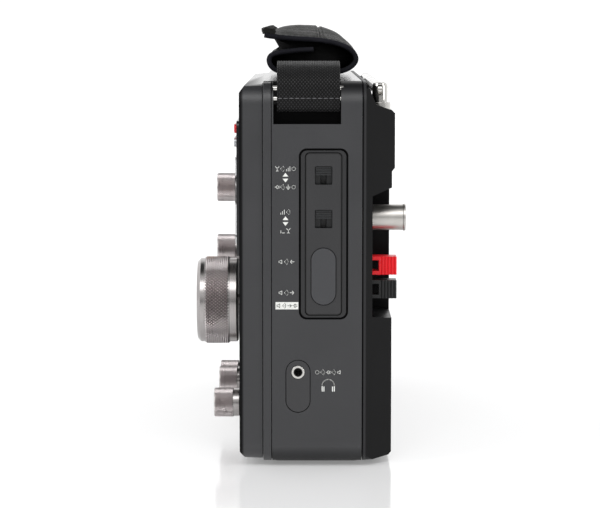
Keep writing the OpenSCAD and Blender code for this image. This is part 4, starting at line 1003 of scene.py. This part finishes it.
copies = add(bead_tree, "GeometryNodeInstanceOnPoints", Points=size["Places"], Instance=pillow.outputs[0],
             Rotation=lean.outputs[0], Scale=stretch)
end_tree(bead_tree, copies.outputs[0], 0.0)


def nylon(name, colour, roughness):
    """Dull black nylon yarn: fine filaments, a slight fuzz, and a tone that wanders a little."""
    made, tree, shader, place = new_material(name, colour, roughness, Specular_IOR_Level=0.35)
    mottle(tree, shader, place, colour, 0.22, 320)
    threads = add(tree, "ShaderNodeTexNoise", Vector=place, Scale=2600, Detail=2.0)
    rough_between(tree, shader, threads.outputs["Fac"], roughness - 0.06, roughness + 0.08)
    bump(tree, shader, threads.outputs["Fac"], 0.00004)
    return made


webbing = nylon("webbing", (0.018, 0.018, 0.019), 0.32)
# The strap's core is near black: painted shade in the gaps between the yarn floats.
webbing_core_painted_shade = nylon("webbing_core_painted_shade", (0.0015, 0.0015, 0.0016), 0.8)
stitch_thread = nylon("stitch_thread", (0.10, 0.10, 0.105), 0.5)
strap_low, strap_high = (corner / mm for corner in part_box("strap_right"))
strap_half = (strap_high.y - strap_low.y) / 2
strap_mid = (strap_high.y + strap_low.y) / 2
top_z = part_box("middle_frame")[1].z / mm
loop_at = Vector((end_x - 4.8, top_z - 12.3))
loop_r = 2.25
strap_top = top_z + 8.4
strap_points = [Vector((loop_at.x - loop_r, top_z - 5.3))]
strap_points += [loop_at + loop_r * Vector((math.cos(math.radians(a)), math.sin(math.radians(a))))
                 for a in range(180, 361, 30)]
strap_points += [Vector((loop_at.x + loop_r + a, top_z + b))
                 for a, b in ((0.2, -6), (0.1, -2.5), (-0.9, 0.6), (-3.3, 3.3), (-6.8, 5.6))]
strap_points += [Vector((end_x - a, strap_top + b)) for a, b in ((14, -1), (22, 0.1), (32, 0.6), (46, 0.4))]
strap_points += [Vector((strap_low.x, strap_top))]
core_t, yarn_high = 1.0, 0.36
strap_line = fine_line(strap_points, 1.0)


def strap_ribbon(name, line, side):
    """The strap's dense core: a thin band with rounded selvedges, following the line."""
    rim = [(1, 0.6), (0.985, 1), (-0.985, 1), (-1, 0.6), (-1, -0.6), (-0.985, -1), (0.985, -1), (1, -0.6)]
    return tube_mesh(name, [[(side * (p.x + n.x * b * core_t / 2), strap_mid + a * (strap_half - 0.1),
                              p.y + n.y * b * core_t / 2) for a, b in rim] for p,
                              n in zip(line, sideways(line))])


def strap_places(line, side, columns=37):
    """Places for the yarn floats on both faces of a strap: columns across, each shifted half a row."""
    outs = sideways(line)
    pitch = 2 * strap_half / columns
    places = []
    for i in range(1, len(line) - 1):
        p, n = line[i], outs[i]
        run = (line[i + 1] - line[i - 1]).normalized()
        for face in (1, -1):
            facing = (side * n.x * face, 0, n.y * face)
            for column in range(columns):
                if (i + column) % 2:
                    continue
                y = strap_mid - strap_half + (column + 0.5) * pitch
                places.append(((side * (p.x + n.x * face * core_t / 2), y, p.y + n.y * face * core_t / 2),
                               facing, (side * run.x, 0, run.y)))
    return places


for side, word in ((1, "right"), (-1, "left")):
    core = placed("strap_core_" + word, strap_ribbon("strap_core_" + word, strap_line, side), None,
                  webbing_core_painted_shade,
                  ["strap_" + word])
    yarn = beads("strap_weave_" + word, strap_places(strap_line, side), 0.36, 0.54, yarn_high)
    weave_piece = placed("strap_weave_" + word, yarn, None, webbing)
    rows = []
    outs = sideways(strap_line)
    at = min(range(len(strap_line)),
             key=lambda i: abs(strap_line[i].y - (top_z - 8.6)) + (100 if strap_line[i].x < loop_at.x else 0))
    for k in range(11):
        y = strap_mid - strap_half + 1.6 + k * 2.88
        p, n = strap_line[at], outs[at]
        rows.append(((side * (p.x + n.x * 0.78), y, p.y + n.y * 0.78), (side * n.x, 0, n.y), (0, 1, 0)))
    stitch = beads("strap_stitches_" + word, rows, 0.32, 1.25, 0.28)
    sewn = placed("strap_stitches_" + word, stitch, None, stitch_thread)
    for piece in (core, weave_piece, sewn):
        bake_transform(piece)
shell("handle_pins", antenna_chrome, 0.25)


# Grip: one piece of padded black leather wrapped once round the webbing, closed by a flap on top.
# It is sewn along a lengthwise seam, bound at both ends, and held by a hook strip at the flap's edge.

grip_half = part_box("handle_grip")[1].x / mm
end_points = [(6.6, 211.4), (-0.5, 211), (-6.2, 210.4), (-12, 209.6), (-15.6, 208.4), (-16.9, 206),
              (-16, 202.9),
              (-13.2, 200.6), (-8, 199.2), (0, 198.9), (12, 199), (19.5, 199.6), (25, 201.4), (28.3, 204.2),
              (29, 207),
              (27.2, 210.2), (23.5, 212.8), (17, 215), (8.4, 216.4), (-3.8, 217.2), (-11, 217.8),
              (-16, 218.3),
              (-19.3, 218.9)]
mid_points = [(1.9, 211.8), (-6.1, 211.6), (-12.1, 210.6), (-15.5, 207.6), (-16.7, 204.4), (-15.9, 201.4),
              (-13.1, 199.6), (-8.1, 198.8), (-0.1, 198.7), (11.9, 198.8), (18.9, 199.4), (24.3, 201.4),
              (27.5, 204.8),
              (28.5, 208.2), (26.9, 212), (21.9, 217), (14.9, 221), (5.9, 223), (-3.1, 223.2), (-10.6, 222),
              (-16.1, 220), (-20.1, 219)]
wrap_steps = 160


def evenly(points, count):
    """A smooth line through the points, cut into so many equal steps."""
    return fine_line([Vector(p) for p in points], fine_length(points) / count)[:count + 1]


def fine_length(points):
    """The length of the smooth line through the points."""
    line = fine_line([Vector(p) for p in points], 0.5)
    return sum((b - a).length for a, b in zip(line, line[1:]))


end_line, mid_line = evenly(end_points, wrap_steps), evenly(mid_points, wrap_steps)
seam_at = min(range(wrap_steps // 2, wrap_steps), key=lambda i: abs(mid_line[i].x - 9))


def wrap_at(x):
    """The leather's middle line at a place along the grip, in (y, z)."""
    share = 1 - abs(x / grip_half) ** 2.5
    return [a.lerp(b, share) for a, b in zip(end_line, mid_line)]


def crumple(x, y, z, i):
    """How far the outer skin stands out there: soft creases, two crowned panels and the sunken seam."""
    soft = noise.noise(Vector((x / 17, y / 9, z / 9))) * 0.42
    crease = abs(noise.noise(Vector((x / 8 + 9, y / 14, z / 14)))) * -0.5
    tight = noise.noise(Vector((x / 4.2, y / 4.2, z / 4.2 + 5))) * 0.12
    seam = -1.0 * math.exp(-((i - seam_at) / 0.8) ** 2)
    ends = min(1.0, (grip_half - abs(x)) / 6)
    return (soft + crease + tight) * (0.45 + 0.55 * ends) + seam


def wrap_mesh():
    """The whole wrap as a closed shell: an outer skin, a lining, and closed edges."""
    stations = [grip_half * (-1 + 2 * k / 104) for k in range(105)]
    bm = bmesh.new()
    skins = []
    for x in stations:
        line = wrap_at(x)
        outs = sideways(line)
        outer, inner = [], []
        for i, (p, n) in enumerate(zip(line, outs)):
            puff = crumple(x, p.x, p.y, i)
            o, q = p + n * (1.15 + puff), p - n * 1.05
            outer.append(bm.verts.new(Vector((x, o.x, o.y)) * mm))
            inner.append(bm.verts.new(Vector((x, q.x, q.y)) * mm))
        skins.append((outer, inner))
    for (o1, n1), (o2, n2) in zip(skins, skins[1:]):
        for i in range(wrap_steps):
            bm.faces.new((o1[i], o1[i + 1], o2[i + 1], o2[i]))
            bm.faces.new((n1[i], n2[i], n2[i + 1], n1[i + 1]))
        for i in (0, wrap_steps):
            bm.faces.new((o1[i], n1[i], n2[i], o2[i]))
    for o, n in (skins[0], skins[-1]):
        for i in range(wrap_steps):
            bm.faces.new((o[i], n[i], n[i + 1], o[i + 1]))
    bmesh.ops.recalc_face_normals(bm, faces=bm.faces)
    return plain_mesh("grip_leather", bm)


def leather(name, colour, roughness, cell=900):
    """Grained leather: small rounded cells parted by fine furrows, and a tone that wanders a little."""
    made, tree, shader, place = new_material(name, colour, roughness, Specular_IOR_Level=0.02)
    tone = mottle(tree, shader, place, colour, 0.30, 70)
    rough_between(tree, shader, tone.outputs["Fac"], roughness - 0.07, roughness + 0.07)
    bend = add(tree, "ShaderNodeTexNoise", Vector=place, Scale=500, Detail=1.0)
    lean = add(tree, "ShaderNodeVectorMath", {"operation": "MULTIPLY_ADD"}, _0=bend.outputs["Color"],
               _1=(0.0006, 0.0006, 0.0006), _2=place)
    grain = add(tree, "ShaderNodeTexVoronoi", {"feature": "DISTANCE_TO_EDGE"}, Vector=lean.outputs["Vector"],
                Scale=cell)
    furrow = add(tree, "ShaderNodeMapRange", Value=grain.outputs["Distance"], _1=0.0, _2=0.22, _3=0.0, _4=1.0)
    deep = bump(tree, shader, furrow.outputs["Result"], 0.00010)
    pores = add(tree, "ShaderNodeTexNoise", Vector=place, Scale=2400, Detail=2.0)
    bump(tree, shader, pores.outputs["Fac"], 0.00002, 1.0, deep)
    return made


black_leather = leather("black_leather", (0.0050, 0.0053, 0.0040), 0.36)
binding_leather = leather("binding_leather", (0.016, 0.016, 0.020), 0.38, 1500)
wrap = placed("grip_leather", wrap_mesh(), "handle", black_leather, ["handle_grip"], 60)


def tube_along(name, points, radius, around=10):
    """A closed tube of that radius along a line of points in the frame, in mm."""
    rings = []
    for i, p in enumerate(points):
        way = (points[min(i + 1, len(points) - 1)] - points[max(i - 1, 0)]).normalized()
        u = way.cross(Vector((1, 0, 0)) if abs(way.x) < 0.9 else Vector((0, 1, 0))).normalized()
        v = way.cross(u)
        rings.append([p + radius * (math.cos(a) * u + math.sin(a) * v)
                      for a in (2 * math.pi * k / around for k in range(around))])
    return tube_mesh(name, rings)


for side, word in ((1, "right"), (-1, "left")):
    rim_line = [Vector((side * (grip_half - 0.1), p.x, p.y)) for p in end_line]
    placed("grip_binding_" + word, tube_along("grip_binding_" + word, rim_line, 1.32, 12), "handle",
           binding_leather, smooth=80)

stitches = []
for k in range(61):
    x = -grip_half + 4 + k * (2 * grip_half - 8) / 60
    line = wrap_at(x)
    outs = sideways(line)
    for step in (-2, 2):
        i = seam_at + step
        p = line[i] + outs[i] * (1.15 + crumple(x, line[i].x, line[i].y, i) + 0.02)
        stitches.append(((x, p.x, p.y), (0, outs[i].x, outs[i].y), (1, 0, 0)))
for side in (1, -1):
    x = side * (grip_half - 3.4)
    line = wrap_at(x)
    outs = sideways(line)
    for i in range(4, wrap_steps - 3, 4):
        p = line[i] + outs[i] * (1.15 + crumple(x, line[i].x, line[i].y, i) + 0.02)
        along = (line[i + 1] - line[i - 1]).normalized()
        stitches.append(((x, p.x, p.y), (0, outs[i].x, outs[i].y), (0, along.x, along.y)))
thread_black = nylon("thread_black", (0.020, 0.020, 0.019), 0.5)
placed("grip_stitches", beads("grip_stitches", stitches, 0.2, 0.9, 0.14), "handle", thread_black)

pad_dark, tree, shader, place = new_material("pad_lining", (0.004, 0.004, 0.0042), 0.85,
                                             Specular_IOR_Level=0.2)
mottle(tree, shader, place, (0.004, 0.004, 0.0042), 0.3, 300)
nap = add(tree, "ShaderNodeTexNoise", Vector=place, Scale=1300, Detail=3.0)
bump(tree, shader, nap.outputs["Fac"], 0.0002)


def pad_mesh():
    """Soft foam and lining that fill the wrap's middle: the room between its turns, a little inside them."""
    half = grip_half - 7
    turn = min(range(wrap_steps // 4), key=lambda i: mid_line[i].x)
    rings = []
    for k in range(41):
        x = half * (-1 + 2 * k / 40)
        line = wrap_at(x)
        outs = sideways(line)
        inside = [p - n * 1.3 for p, n in zip(line, outs)]
        hoop = inside[turn:wrap_steps - 5]
        front = inside[wrap_steps - 6].lerp(inside[turn], 0.5) + Vector((3.5, 0))
        ring = hoop + [front]
        shrink = 1.0 if abs(x) < half - 6 else 1.0 - 0.5 * ((abs(x) - half + 6) / 6) ** 2
        mid = sum(ring, Vector((0, 0))) / len(ring)
        rings.append([(x, mid.x + (p.x - mid.x) * shrink, mid.y + (p.y - mid.y) * shrink) for p in ring])
    return tube_mesh("grip_padding", rings)


pad = placed("grip_padding", pad_mesh(), "handle", pad_dark, smooth=60)

inner_strap = [Vector((x, strap_top)) for x in range(-80, 81, 4)]
placed("grip_webbing", strap_ribbon("grip_webbing", inner_strap, 1), "handle", webbing_core_painted_shade)

hook_tab, tree, shader, place = new_material("hook_fabric", (0.010, 0.010, 0.009), 0.8,
                                             Specular_IOR_Level=0.2)
mottle(tree, shader, place, (0.010, 0.010, 0.009), 0.35, 600)
fuzz = add(tree, "ShaderNodeTexNoise", Vector=place, Scale=1500, Detail=4.0)
bump(tree, shader, fuzz.outputs["Fac"], 0.0006)
along_steps, around = 120, 24
rings = []
for k in range(along_steps + 1):
    x = (grip_half - 0.8) * (-1 + 2 * k / along_steps)
    line = wrap_at(x)
    edge, inner_edge = line[-1], line[-9]
    along = (inner_edge - edge).normalized()
    out = Vector((-along.y, along.x)) if along.x > 0 else Vector((along.y, -along.x))
    ring = []
    middle = edge + along * 2.4 + out * 2.2
    for t in range(around):
        a = 2 * math.pi * t / around
        square = max(abs(math.cos(a)), abs(math.sin(a))) ** 0.75
        u, v = math.cos(a) / square * 3.3, math.sin(a) / square * 1.7
        p = edge + along * (2.4 + u) + out * (2.2 + v)
        wob = noise.noise(Vector((x / 1.4, p.x / 1.1, p.y / 1.1))) * 0.45
        q = p + (p - middle).normalized() * wob
        ring.append((x, q.x, q.y))
    rings.append(ring)
placed("hook_strip", tube_mesh("hook_strip", rings), "handle", hook_tab, smooth=80)


# Studio: a pale, slightly glossy table, a soft sky of light that is brightest behind the object, and
# three softboxes. None of this is part of the object.

floor_mesh = bpy.data.meshes.new("studio_floor")
half_floor = 6.0
floor_mesh.from_pydata([(-half_floor, -half_floor, 0), (half_floor, -half_floor, 0),
                        (half_floor, half_floor, 0),
                        (-half_floor, half_floor, 0)], [], [(0, 1, 2, 3)])
floor = bpy.data.objects.new("studio_floor", floor_mesh)
bpy.context.scene.collection.objects.link(floor)
table_white, tree, shader, place = new_material("table_white", (0.86, 0.86, 0.865), 0.12)
shader.inputs["Emission Color"].default_value = (1, 1, 1, 1)
shader.inputs["Emission Strength"].default_value = 0.22
polish = add(tree, "ShaderNodeTexNoise", Vector=place, Scale=3.0)
rough_between(tree, shader, polish.outputs["Fac"], 0.10, 0.16)
floor_mesh.materials.append(table_white)

sky = bpy.data.worlds.new("studio_sky")
bpy.context.scene.world = sky
sky.use_nodes = True
tree = sky.node_tree
axis = add(tree, "ShaderNodeSeparateXYZ", Vector=add(tree, "ShaderNodeTexCoord").outputs["Generated"])
behind, high, not_front, low_front, in_front = (
    add(tree, "ShaderNodeMapRange", {"interpolation_type": "SMOOTHSTEP"},
        Value=axis.outputs[way], _1=start, _2=stop, _3=first, _4=last).outputs["Result"]
    for way, start, stop, first, last in (("X", -0.55, 0.35, 1.12, 0.80), ("Z", 0.66, 0.84, 0.0, 0.95),
                                          ("X", 0.05, 0.30, 1.0, 0.0), ("Z", 0.03, 0.30, 0.70, 0.0),
                                          ("X", 0.15, 0.75, 0.0, 1.0)))
overhead = calc(tree, "SUBTRACT", 1.0, calc(tree, "MULTIPLY", high, not_front))
shade = calc(tree, "MULTIPLY", low_front, in_front)
light = calc(tree, "MULTIPLY", calc(tree, "MULTIPLY", behind, overhead), calc(tree, "SUBTRACT", 1.0, shade))
tree.links.new(light, tree.nodes["Background"].inputs["Strength"])
tree.nodes["Background"].inputs["Color"].default_value = (1, 1, 1, 1)


def softbox(name, at, to, width, height, watts):
    """A soft rectangular light at one point, facing another."""
    data = bpy.data.lights.new(name, "AREA")
    data.shape, data.size, data.size_y, data.energy = "RECTANGLE", width, height, watts
    lamp = bpy.data.objects.new(name, data)
    lamp.location = at
    lamp.rotation_mode = "QUATERNION"
    lamp.rotation_quaternion = (Vector(to) - Vector(at)).to_track_quat("-Z", "Y")
    bpy.context.scene.collection.objects.link(lamp)


softbox("softbox_high", (1.5, 0, 1.5), (0, 0, 0.1), 1.3, 0.8, 9)
softbox("softbox_front_left", (1.0, -1.5, 0.9), (0, 0, 0.1), 0.5, 1.3, 9)
softbox("softbox_front_right", (0.9, 1.6, 0.8), (0, 0, 0.1), 0.5, 1.3, 6)

eye = Vector((1.261, 0, 0.223))
aim = Vector((0.148, -0.0005, 0.1094))
camera = bpy.data.objects.new("camera", bpy.data.cameras.new("camera"))
camera.data.sensor_width, camera.data.lens = 36, 133.3
camera.data.clip_start, camera.data.clip_end = 0.05, 60
camera.location = eye
camera.rotation_mode = "QUATERNION"
camera.rotation_quaternion = (aim - eye).to_track_quat("-Z", "Y")
bpy.context.scene.collection.objects.link(camera)
bpy.context.scene.camera = camera
bpy.context.scene.view_settings.view_transform = "Standard"
